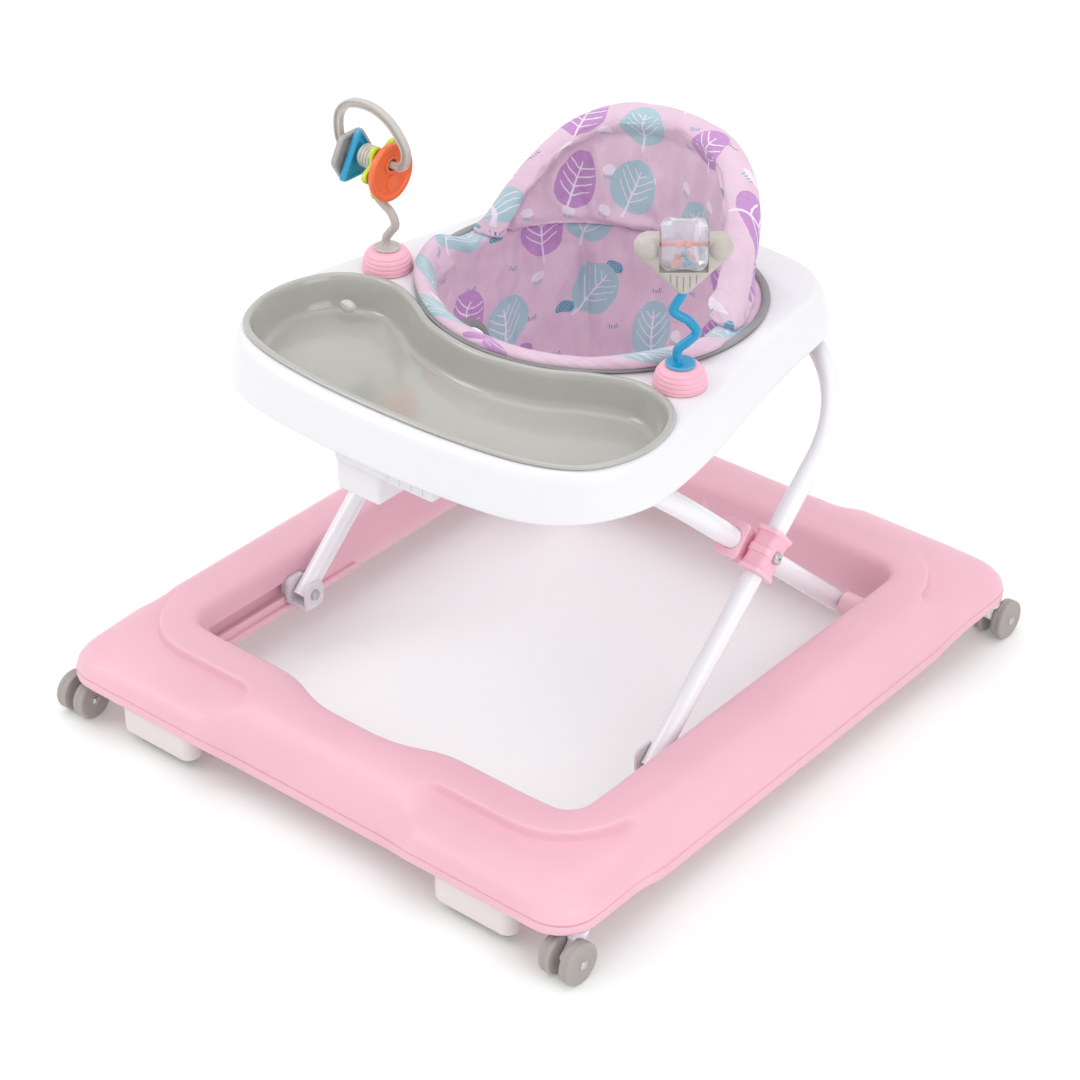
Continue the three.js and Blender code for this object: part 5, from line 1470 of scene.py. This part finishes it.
in_front = [v for v in shape.verts if v.co.y < SEAT_CENTRE[1]]
inside = {v for v in in_front if hole_reach(v.co) < 1}
shape.verts.ensure_lookup_table()
bottom_row = shape.verts[(depth_count - 1) * LINER_COLUMNS :]
shape.faces.new(bottom_row)
bmesh.ops.delete(shape, geom=[f for f in shape.faces if all(v in inside for v in f.verts)], context="FACES")
bmesh.ops.delete(shape, geom=[v for v in shape.verts if not v.link_faces], context="VERTS")
hole_low, hole_high = TRAY_TOP - 0.1385, TRAY_TOP - 0.012
hole_edges = [e for e in shape.edges if e.is_boundary and hole_low < e.verts[0].co.z < hole_high]
edge_points = {v for e in hole_edges for v in e.verts}
for _ in range(6):
    for v in edge_points:
        near = [e.other_vert(v) for e in v.link_edges if e.is_boundary]
        if len(near) == 2:
            v.co = v.co * 0.4 + (near[0].co + near[1].co) * 0.3
shape.to_mesh(liner.data)
shape.free()
pins = []
for vertex in liner.data.vertices:
    above = smooth_share((vertex.co.z - (TRAY_TOP - 0.006)) / 0.008)
    low_down = smooth_share(((TRAY_TOP - 0.134) - vertex.co.z) / 0.006)
    pins.append(max(above, low_down))
boundary = bmesh.new()
boundary.from_mesh(liner.data)
loops = []
for vertex in boundary.verts:
    if vertex.is_boundary:
        pins[vertex.index] = 1
unused = {e for e in boundary.edges if e.is_boundary and e.verts[0].co.z < hole_high}
while unused:
    edge = unused.pop()
    path = [edge.verts[0], edge.verts[1]]
    while True:
        onward = [e for e in path[-1].link_edges if e in unused]
        if not onward:
            break
        unused.discard(onward[0])
        path.append(onward[0].other_vert(path[-1]))
    loops.append([v.co.copy() for v in path])
boundary.free()
wrinkled(liner, pins, 18, 0.07, 0, 0.008)
wadding = liner.modifiers.new("wadding", "SOLIDIFY")
wadding.thickness = 0.0034
wadding.offset = -1
settle(liner, 80)
soften(liner)
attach(liner, "tray")
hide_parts("seat_sling")

# Each leg hole is bound with the same grey webbing.
for loop in sorted((edge_loop for edge_loop in loops if len(edge_loop) > 20), key=lambda found: found[0].x):
    label = "left" if loop[0].x < 0 else "right"
    ring = curved([np.array(p) for p in loop[:-1:2]], 150, closed=True)
    middle = ring.mean(axis=0)
    section = []
    for turn in np.linspace(0, 2 * math.pi, 12, endpoint=False):
        section.append((0.0022 * math.cos(turn), 0.0058 * math.sin(turn)))
    outward = ring - middle
    outward /= np.linalg.norm(outward, axis=1)[:, None]
    along = np.roll(ring, -1, axis=0) - np.roll(ring, 1, axis=0)
    along /= np.linalg.norm(along, axis=1)[:, None]
    through = np.cross(along, outward)
    through /= np.linalg.norm(through, axis=1)[:, None]
    grid = np.array([ring + through * a + outward * b for a, b in section + section[:1]])
    lengths = np.linspace(0, 0.26, len(ring) + 1)
    uv = np.stack(np.meshgrid(lengths, np.linspace(0, 0.026, len(section) + 1)), axis=-1)
    hem = grid_piece("leg_hole_binding_" + label, grid, uv, "tray", binding_grey, around=True)


# ---- Backrest ----------------------------------------------------------------------------------
# A foam pad sewn into the same printed fabric, with a fat bolster round its arched edge and a sewn
# channel inside that. A board slipped in from below holds it up behind the seat hole.
PAD_COLUMNS = 104
PAD_BOTTOM = TRAY_TOP + 0.0035
fine_turn = np.linspace(0.088, math.pi - 0.088, 900)
plan = np.column_stack([0.155 * np.cos(fine_turn), 0.060 + 0.140 * np.sin(fine_turn)])
plan_length = np.concatenate([[0], np.cumsum(np.linalg.norm(np.diff(plan, axis=0), axis=1))])
pad_along = np.linspace(0, plan_length[-1], PAD_COLUMNS)
pad_plan = np.stack([np.interp(pad_along, plan_length, plan[:, k]) for k in (0, 1)], axis=1)
pad_in = np.gradient(pad_plan, axis=0)
pad_in /= np.linalg.norm(pad_in, axis=1)[:, None]
pad_in = np.column_stack([-pad_in[:, 1], pad_in[:, 0]])
pad_top = TRAY_TOP - 0.002 + 0.1385 * np.sqrt(np.maximum(1 - np.abs(pad_plan[:, 0] / 0.156) ** 3, 0))
sections, lengths, seam_pull = [], [], []
for column in range(PAD_COLUMNS):
    to_end = min(pad_along[column], plan_length[-1] - pad_along[column])
    round_end = math.sqrt(max(1 - (1 - min(to_end / 0.016, 1)) ** 2, 0))
    thick = 0.0265 * (0.30 + 0.70 * round_end)
    top = pad_top[column] - 0.011 * (1 - round_end)
    crown = thick / 2
    under = np.arange(7, 0, -1) / 7
    loop = [(thick * 0.93 * (1 - k), PAD_BOTTOM - 0.0012 * math.sin(k * math.pi)) for k in under]
    inner = [(thick, z) for z in np.linspace(PAD_BOTTOM + 0.002, top - crown, 30)]
    arc = np.linspace(0, math.pi, 13)[1:-1]
    over = [(crown + crown * math.cos(a), top - crown + crown * math.sin(a)) for a in arc]
    outer = [(0, z) for z in np.linspace(top - crown, PAD_BOTTOM + 0.003, 16)]
    section = np.array(inner + over + outer + loop)
    # The bolster swells, the channel sinks and the panel inside it swells again.
    depth = np.minimum(top - section[:, 1], to_end + 0.004)
    inside = section[:, 0] > thick * 0.6
    swell = 0.0050 * np.exp(-(((depth - 0.014) / 0.011) ** 2))
    swell = swell - 0.0062 * np.exp(-(((depth - 0.0315) / 0.0038) ** 2))
    swell -= 0.0035 * smooth_share((depth - 0.026) / 0.012)
    low_roll = 0.0050 * np.exp(-(((section[:, 1] - PAD_BOTTOM - 0.012) / 0.010) ** 2)) * (depth > 0.034)
    section[:, 0] += np.where(inside, (swell + low_roll) * (0.25 + 0.75 * round_end), 0)
    back = ~inside & (section[:, 0] < thick * 0.3)
    section[:, 0] -= np.where(back, 0.0022 * np.exp(-(((depth - 0.02) / 0.016) ** 2)), 0)
    seam_pull.append(np.where(inside, np.exp(-(((depth - 0.0315) / 0.0034) ** 2)), 0))
    places = np.column_stack(
        [
            pad_plan[column, 0] + pad_in[column, 0] * section[:, 0],
            pad_plan[column, 1] + pad_in[column, 1] * section[:, 0],
            section[:, 1],
        ]
    )
    sections.append(places)
    strides = np.linalg.norm(np.diff(section, axis=0), axis=1)
    lengths.append(PAD_BOTTOM + np.concatenate([[0], np.cumsum(strides)]))
sections = np.array(sections)
pad_rows = sections.shape[1]
lengths = np.array(lengths)
# Loose folds that run down the panel, as padded cloth has over a curved board.
for column in range(PAD_COLUMNS):
    for row in range(30):
        share = smooth_share((lengths[column, row] - PAD_BOTTOM) / 0.02) * (1 - seam_pull[column][row])
        ripple = noise.noise(Vector((pad_along[column] * 38, row * 0.06, 3.1))) * 0.0040
        ripple += noise.noise(Vector((pad_along[column] * 90, row * 0.16, 9.4))) * 0.0018
        sections[column, row, :2] += pad_in[column] * ripple * share
points = sections.reshape(-1, 3)
faces = []
for column in range(PAD_COLUMNS - 1):
    for row in range(pad_rows):
        onward = (row + 1) % pad_rows
        faces.append(
            (
                column * pad_rows + row,
                (column + 1) * pad_rows + row,
                (column + 1) * pad_rows + onward,
                column * pad_rows + onward,
            )
        )
faces += [tuple(range(pad_rows)), tuple(range((PAD_COLUMNS - 1) * pad_rows, PAD_COLUMNS * pad_rows))[::-1]]
pad_mesh = bpy.data.meshes.new("backrest_cushion")
pad_mesh.from_pydata([tuple(p) for p in points], [], faces)
layer = pad_mesh.uv_layers.new(name="flat")
for face in pad_mesh.polygons:
    face_rows = {vertex % pad_rows for vertex in face.vertices}
    closing = face_rows >= {0, pad_rows - 1} and len(face.vertices) == 4
    for loop_index in face.loop_indices:
        column, row = divmod(pad_mesh.loops[loop_index].vertex_index, pad_rows)
        v = lengths[column, row]
        if closing and row == 0:
            v = lengths[column, -1] + 0.003
        if len(face.vertices) > 4:
            layer.data[loop_index].uv = (
                pad_along[column] + sections[column, row, 1] * 0.8, sections[column, row, 2]
            )
        else:
            layer.data[loop_index].uv = (pad_along[column] * 0.93, v)
pad_mesh.materials.append(fabric)
shape = bmesh.new()
shape.from_mesh(pad_mesh)
bmesh.ops.recalc_face_normals(shape, faces=shape.faces)
shape.to_mesh(pad_mesh)
shape.free()
pad_mesh.shade_smooth()
cushion = bpy.data.objects.new("backrest_cushion", pad_mesh)
bpy.context.scene.collection.objects.link(cushion)
pins = []
for column in range(PAD_COLUMNS):
    for row in range(pad_rows):
        low_down = 1 - smooth_share((sections[column, row, 2] - PAD_BOTTOM) / 0.006)
        pins.append(max(float(seam_pull[column][row] > 0.45), low_down))
wrinkled(cushion, pins, 20, 0.055, 2.5, 0.007)
soften(cushion)
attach(cushion, "tray")
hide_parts("backrest_pad", "backrest_board")


# ---- Toy domes ---------------------------------------------------------------------------------
# Two pink domes, ringed with grip ribs, plug into holes in the tray; each toy turns on top of its own.
dome_profile = [(0, -0.008), (0.009, -0.008), (0.009, 0.0005), (0.0232, 0.0005)]
for z in np.linspace(0.0009, 0.0195, 66):
    body_radius = 0.0128 + 0.0112 * (1 - (z / 0.0205) ** 2.4) ** 0.5
    wave = 0.5 + 0.5 * math.cos(2 * math.pi * (z - 0.0032) / 0.0041)
    groove = 0.00085 * wave**7 * (0.002 < z < 0.0185)
    dome_profile.append((float(body_radius - groove), float(z)))
dome_profile += [(0.0128, 0.0202), (0.0115, 0.0204), (0.0052, 0.0204), (0.0052, 0.0118), (0, 0.0118)]
toy_centres = {side: (side * dome_at[0], dome_at[1], TRAY_TOP) for side in (-1, 1)}
for label, side in (("left", -1), ("right", 1)):
    dome = lathed(
        "toy_dome_ribbed_" + label, dome_profile, toy_centres[side], "z", "tray", clamp_pink, 72, 40
    )
    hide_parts("toy_dome_" + label)


# ---- Loop toy ----------------------------------------------------------------------------------
# A wavy grey stem with a barrel on top, a D-shaped loop through it, and four shapes on its bar.
def turned_rod(points, radius, centre, material, flange):
    """A wavy moulded stem that flares into a flange on its dome."""
    path = curved([(centre[0] + x * MM, centre[1], centre[2] + z * MM) for x, z in points], 90)
    radii = np.full(len(path), radius)
    height = (path[:, 2] - centre[2] - 0.0204) * 1000
    radii = radii * (1 + 0.55 * np.exp(-np.maximum(height, 0) / 2.6))
    stem = swept("stem", path, radii, None, material, sides=30)
    base = [
        (0, 0.0124), (0.0048, 0.0124), (0.0048, 0.0206), (flange - 0.0006, 0.0206), (flange, 0.0211),
        (flange, 0.0223),
    ]
    base += [
        (flange - 0.0007, 0.0230), (flange - 0.002, 0.0233), (flange - 0.0035, 0.0230), (0.0078, 0.0232),
        (0.0062, 0.0242), (0, 0.0246),
    ]
    foot = lathed("foot", base, centre, "z", None, material, 48)
    return stem, foot


loop_at = toy_centres[-1]
BAR_Z = joints["disc_swing"]["pos_m"][2]
bar_rise = (BAR_Z - TRAY_TOP) * 1000
BAR_MIDDLE = -15
wave = [(0, 17), (-1, 30), (5, 39), (11, 48), (6, 59), (-8, 68), (-14, 78), (BAR_MIDDLE, bar_rise - 8)]
stem, foot = turned_rod(wave, 0.0041, loop_at, toy_grey, 0.0122)
barrel_profile = [(0.0039, -0.0101), (0.0100, -0.0101), (0.0108, -0.0093)]
for k in range(5):
    start = -0.0085 + k * 0.0036
    barrel_profile += [
        (0.0112, start), (0.0112, start + 0.0024), (0.0105, start + 0.0028), (0.0105, start + 0.0032)
    ]
barrel_profile += [(0.0108, 0.0093), (0.0100, 0.0101), (0.0039, 0.0101), (0.0039, -0.0101)]
bar_at = (loop_at[0] + BAR_MIDDLE * MM, loop_at[1], BAR_Z)
barrel = lathed("barrel", barrel_profile, bar_at, "x", None, toy_grey, 56, 30)
loop_stem = joined("loop_toy_stem", [stem, foot, barrel], 34)
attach(loop_stem, "loop_toy")
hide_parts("loop_stem")

bow = [(-35, -3), (-41, 14), (-39, 34), (-24, 47.5), (2, 50), (25, 40), (41, 20), (39, 4), (31, 0)]
bow = curved([(bar_at[0] + x * MM, bar_at[1], BAR_Z + z * MM) for x, z in bow], 120)
along = np.gradient(bow, axis=0)
along /= np.linalg.norm(along, axis=1)[:, None]
outward = np.cross(along, (0, 1, 0))
beam = [
    (-4.0, -2.7), (-3.6, -3.2), (-2.6, -3.2), (-2.1, -2.6), (-1.9, -1.4), (1.9, -1.4), (2.1, -2.6),
    (2.6, -3.2), (3.6, -3.2), (4.0, -2.7),
]
beam += [(-x, -y) for x, y in beam]
rings = [bow + outward * a * MM + np.array((0, 1, 0)) * b * MM for a, b in beam]
rings = np.array(rings).transpose(1, 0, 2)
hoop = lofted("hoop", rings, None, toy_grey, 34)
bar_profile = [(0, -0.036), (0.003, -0.036), (0.0036, -0.0354), (0.0036, 0.0326), (0.003, 0.033), (0, 0.033)]
bar = lathed("bar", bar_profile, bar_at, "x", None, toy_grey, 40)
handle = joined("loop_toy_handle", [hoop, bar], 34)
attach(handle, "loop_toy")
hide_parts("loop_handle")


def polar(count, radius):
    """A closed outline round a centre, from its radius at each turn."""
    turns = np.linspace(0, 2 * math.pi, count, endpoint=False)
    reach = np.array([radius(turn) for turn in turns])
    return np.column_stack([np.cos(turns) * reach, np.sin(turns) * reach]) * MM


def corner_radius(sides, reach, sharpness, start=0.0):
    """The radius of a soft-cornered polygon at a turn."""
    def radius(turn):
        part = (turn - start) % (2 * math.pi / sides) - math.pi / sides
        flat = reach * math.cos(math.pi / sides) / math.cos(part)
        return (flat**-sharpness + (reach * 0.97) ** -sharpness) ** (-1 / sharpness)
    return radius


def hanging_shape(name, node, body, outline, thickness, material, rim, recess, hang, boss=None):
    """A moulded charm: a raised rim round a sunk face on both sides, with a hole for the bar."""
    low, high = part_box(node)
    x = (low.x + high.x) / 2
    half = thickness / 2
    levels = [
        (-half + recess, -rim - 0.0012), (-half + 0.0002, -rim), (-half, -rim + 0.0006), (-half, -0.0014),
        (-half + 0.0005, -0.0005), (-half + 0.0014, 0),
    ]
    levels += [(-z, growth) for z, growth in levels[::-1]]
    rings = []
    for place, growth in levels:
        ring = outline * (1 + growth / 0.026)
        rings.append(
            np.column_stack(
                [np.full(len(ring), x + place), bar_at[1] + ring[:, 0], BAR_Z - hang + ring[:, 1]]
            )
        )
    charm = lofted(name, rings, None, material, 34)
    eyelet = rod_mesh(
        "eyelet", (x - half + 0.0002, bar_at[1], BAR_Z), (x + half - 0.0002, bar_at[1], BAR_Z), 0.0088, 48
    )
    charm = combined(charm, eyelet)
    if boss:
        charm = combined(
            charm,
            rod_mesh(
                "boss",
                (x - half + recess / 2, bar_at[1], BAR_Z - hang - 0.010),
                (x + half - recess / 2, bar_at[1], BAR_Z - hang - 0.010),
                boss,
                40,
            ),
        )
    charm = cut(
        charm, rod_mesh("bar_hole", (x - 0.02, bar_at[1], BAR_Z), (x + 0.02, bar_at[1], BAR_Z), 0.0058, 48)
    )
    refinished(charm, name, material)
    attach(charm, body)
    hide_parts(node)
    return charm


charms = (
    (
        "hexagon",
        polar(96, corner_radius(6, 27, 40)),
        0.006,
        (168, 165, 162),
        0.004,
        0.0012,
        0.005,
        None,
        "ring_grey",
    ),
    (
        "triangle",
        polar(120, corner_radius(3, 31, 14, math.pi / 2)),
        0.007,
        (0, 150, 196),
        0.0045,
        0.0016,
        0.005,
        None,
        "toy_blue",
    ),
    (
        "flower",
        polar(144, lambda turn: 25 + 4.5 * math.cos(6 * turn)),
        0.005,
        (205, 222, 60),
        0.005,
        0.001,
        0.007,
        None,
        "toy_lime",
    ),
    ("disc", polar(96, lambda turn: 28), 0.006, (246, 108, 44), 0.0042, 0.0014, 0.008, 0.0075, "toy_orange"),
)
for shape_name, outline, thickness, colour, rim, recess, hang, boss, finish in charms:
    material = moulded_plastic(
        "charm_" + shape_name, srgb(*colour), roughness=0.28, grain=0.1, coat=0.3, worn=0.15
    )
    node = shape_name + "_ring"
    sizes = (thickness, material, rim, recess, hang, boss)
    charm = hanging_shape("charm_" + shape_name, node, shape_name, outline, *sizes)


# ---- Rattle toy --------------------------------------------------------------------------------
# A wavy blue stem holds a grey rounded-triangle frame with a lobe at each side; a clear drum of
# loose beads spins in its window on a thin axle.
toy_blue = moulded_plastic("toy_blue", srgb(0, 150, 198), roughness=0.28, grain=0.1, coat=0.3)
rattle_at = toy_centres[1]
spin = joints["drum_spin"]
drum_at = Vector(spin["pos_m"])
facing = math.atan2(spin["axis"][1], spin["axis"][0])
RATTLE_TURNED = Matrix.Translation(drum_at) @ Matrix.Rotation(facing, 4, "Z") @ Matrix.Translation(-drum_at)


def turned_toy(piece):
    """Turns a rattle piece, built facing forward, to the way the toy faces."""
    piece.data.transform(RATTLE_TURNED)
    piece.data.update()
    return piece


low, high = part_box("rattle_stem")
stem_top = (high.z - TRAY_TOP) * 1000
wave = [(0, 17), (-3, 34), (6, 43), (13, 52), (6, 63), (-7, 72), (-5, 80), (0, stem_top - 11), (0, stem_top)]
rattle_stem = joined("rattle_toy_stem", turned_rod(wave, 0.0042, rattle_at, toy_blue, 0.0135), 34)
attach(turned_toy(rattle_stem), "rattle_toy")
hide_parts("rattle_stem")

drum_low, drum_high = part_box("rattle_drum")
DRUM_RADIUS = (drum_high.z - drum_low.z) / 2
DRUM_HALF = 0.020
holder_z = drum_at.z - 0.006
arcs = []
for (x, z, radius), start, sweep in (
    ((-30, 4, 12.4), 95, 120), ((0, -31, 9), 222, 96), ((30, 4, 12.4), -35, 120)
):
    for turn in np.radians(np.linspace(start, start + sweep, 24)):
        arcs.append((x + radius * math.cos(turn), z + radius * math.sin(turn)))
arcs = np.array(arcs + arcs[:1]) * MM
around = np.concatenate([[0], np.cumsum(np.linalg.norm(np.diff(arcs, axis=0), axis=1))])
places = np.linspace(0, around[-1], 120, endpoint=False)
frame_outline = np.stack([np.interp(places, around, arcs[:, k]) for k in (0, 1)], axis=1)
rings = []
for y, growth in (
    (-10.8, -6.5),
    (-10.2, -4.2),
    (-8.8, -2.1),
    (-6.6, -0.6),
    (-4.4, 0),
    (4.4, 0),
    (6.6, -0.6),
    (8.8, -2.1),
    (10.2, -4.2),
    (10.8, -6.5),
):
    ring = (frame_outline + (0, 0.007)) * (1 + growth * MM / 0.030) - (0, 0.007)
    rings.append(
        np.column_stack(
            [drum_at.x + ring[:, 0], np.full(len(ring), drum_at.y + y * 0.74 * MM), holder_z + ring[:, 1]]
        )
    )
holder = lofted("rattle_frame", rings, None, toy_grey, 40)
for side in (-1, 1):
    lobe_turn = np.linspace(-math.pi / 2 + 0.02, math.pi / 2 - 0.02, 25)
    lobe_profile = [(0.0121 * math.cos(a), 0.0126 * math.sin(a)) for a in lobe_turn]
    lobe_profile = [(0, lobe_profile[0][1])] + lobe_profile + [(0, lobe_profile[-1][1])]
    lobe = lathed(
        "lobe",
        lobe_profile,
        (drum_at.x + side * 0.030, drum_at.y, holder_z + 0.004),
        "z",
        None,
        toy_grey,
        48,
    )
    holder = combined(holder, lobe)
window = rod_mesh(
    "window",
    (drum_at.x - DRUM_HALF - 0.001, drum_at.y, drum_at.z),
    (drum_at.x + DRUM_HALF + 0.001, drum_at.y, drum_at.z),
    DRUM_RADIUS + 0.0015,
    80,
)
holder = cut(holder, window)
socket = rod_mesh(
    "socket", (drum_at.x, drum_at.y, high.z - 0.05), (drum_at.x, drum_at.y, high.z + 0.0004), 0.0046, 40
)
holder = cut(holder, socket)
for k in range(-2, 3):
    x = drum_at.x + k * 0.0055
    bottom = holder_z - 0.0395 + abs(k) * 0.0035
    for face_y in (-1, 1):
        y_range = sorted((drum_at.y + face_y * 0.0068, drum_at.y + face_y * 0.010))
        line = block_mesh(
            "line",
            (x - 0.0006, y_range[0], bottom),
            (x + 0.0006, y_range[1], holder_z - 0.0215 + abs(k) * 0.0012),
            0.0003,
            1,
        )
        holder = cut(holder, line)
refinished(holder, "rattle_frame", toy_grey)
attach(turned_toy(holder), "rattle_toy")
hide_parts("rattle_holder")

drum_clear, tree, main, place = shader("drum_clear")
tint = ranged(tree, textured(tree, "Noise", place, 60, 2), 0.3, 0.7, 0, 1)
tree.links.new(mixed(tree, tint, (0.93, 0.95, 0.98), (0.98, 0.98, 1.0)), main.inputs["Base Color"])
tree.links.new(
    ranged(tree, textured(tree, "Noise", place, 120, 3), 0.3, 0.7, 0.04, 0.12), main.inputs["Roughness"]
)
main.inputs["Transmission Weight"].default_value = 0.86
main.inputs["IOR"].default_value = 1.22
main.inputs["Coat Weight"].default_value = 0.4
bumped(tree, main, textured(tree, "Noise", place, 90, 2), 0.0006, 0.3)
r, h = DRUM_RADIUS, DRUM_HALF
shell_profile = [(0.0025, -h), (r - 0.008, -h)]
shell_turn = np.linspace(0.15, math.pi / 2, 8)
shell_profile += [(r - 0.008 + 0.008 * math.sin(a), -h + 0.008 - 0.008 * math.cos(a)) for a in shell_turn]
shell_profile += [(r - 0.0005, -0.006), (r - 0.0012, -0.0045), (r - 0.0012, 0.0045), (r - 0.0005, 0.006)]
shell_profile += [(a, -b) for a, b in shell_profile[9:1:-1]] + [(r - 0.008, h), (0.0025, h)]
inner_profile = [
    (0.0025, h - 0.0016), (r - 0.0088, h - 0.0016), (r - 0.0026, h - 0.0085), (r - 0.0026, -h + 0.0085),
    (r - 0.0088, -h + 0.0016), (0.0025, -h + 0.0016), (0.0025, -h),
]
drum = turned_toy(
    lathed("clear_drum", shell_profile + inner_profile, tuple(drum_at), "x", None, drum_clear, 64, 34)
)
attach(drum, "drum")
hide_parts("rattle_drum")

toy_coral = moulded_plastic("toy_coral", srgb(238, 112, 100), roughness=0.3, grain=0.1, coat=0.3)
pin_profile = [
    (0, -0.026), (0.0016, -0.026), (0.002, -0.0255), (0.002, -0.008), (0.0031, -0.0075), (0.0034, -0.004),
    (0.0031, -0.0005), (0.002, 0),
]
pin_profile += [(radius, -x) for radius, x in pin_profile[-2::-1]]
axle_pin = turned_toy(lathed("rattle_axle_pin", pin_profile, tuple(drum_at), "x", None, toy_coral, 32))
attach(axle_pin, "rattle_toy")
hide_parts("rattle_axle")
bead_finishes = (toy_coral, toy_blue, clamp_pink)
bead_slots = ("toy_coral", "toy_blue", "clamp_pink")
beads = [[], [], []]
for k in range(14):
    turn = math.radians(-90 + (k * 37) % 80 - 40)
    reach = r - 0.0026 - 0.0036
    x = drum_at.x + (-0.0095 + (k * 0.0071) % 0.0195)
    centre = (x, drum_at.y + reach * math.cos(turn), drum_at.z + reach * math.sin(turn))
    bead_profile = [
        (0.0009, -0.0027), (0.0022, -0.0027), (0.0031, -0.0017), (0.0033, 0), (0.0031, 0.0017),
        (0.0022, 0.0027), (0.0009, 0.0027), (0.0009, -0.0027),
    ]
    beads[k % 3].append(lathed("bead", bead_profile, centre, "xyz"[k % 3], None, bead_finishes[k % 3], 20))
for group, finish in zip(beads, bead_slots):
    loose = turned_toy(joined("loose_beads_" + finish, group))
    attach(loose, "rattle_toy")


# ---- Finish ------------------------------------------------------------------------------------
# The object's size: the bounds of every shown piece, the floor left out.
low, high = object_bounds()
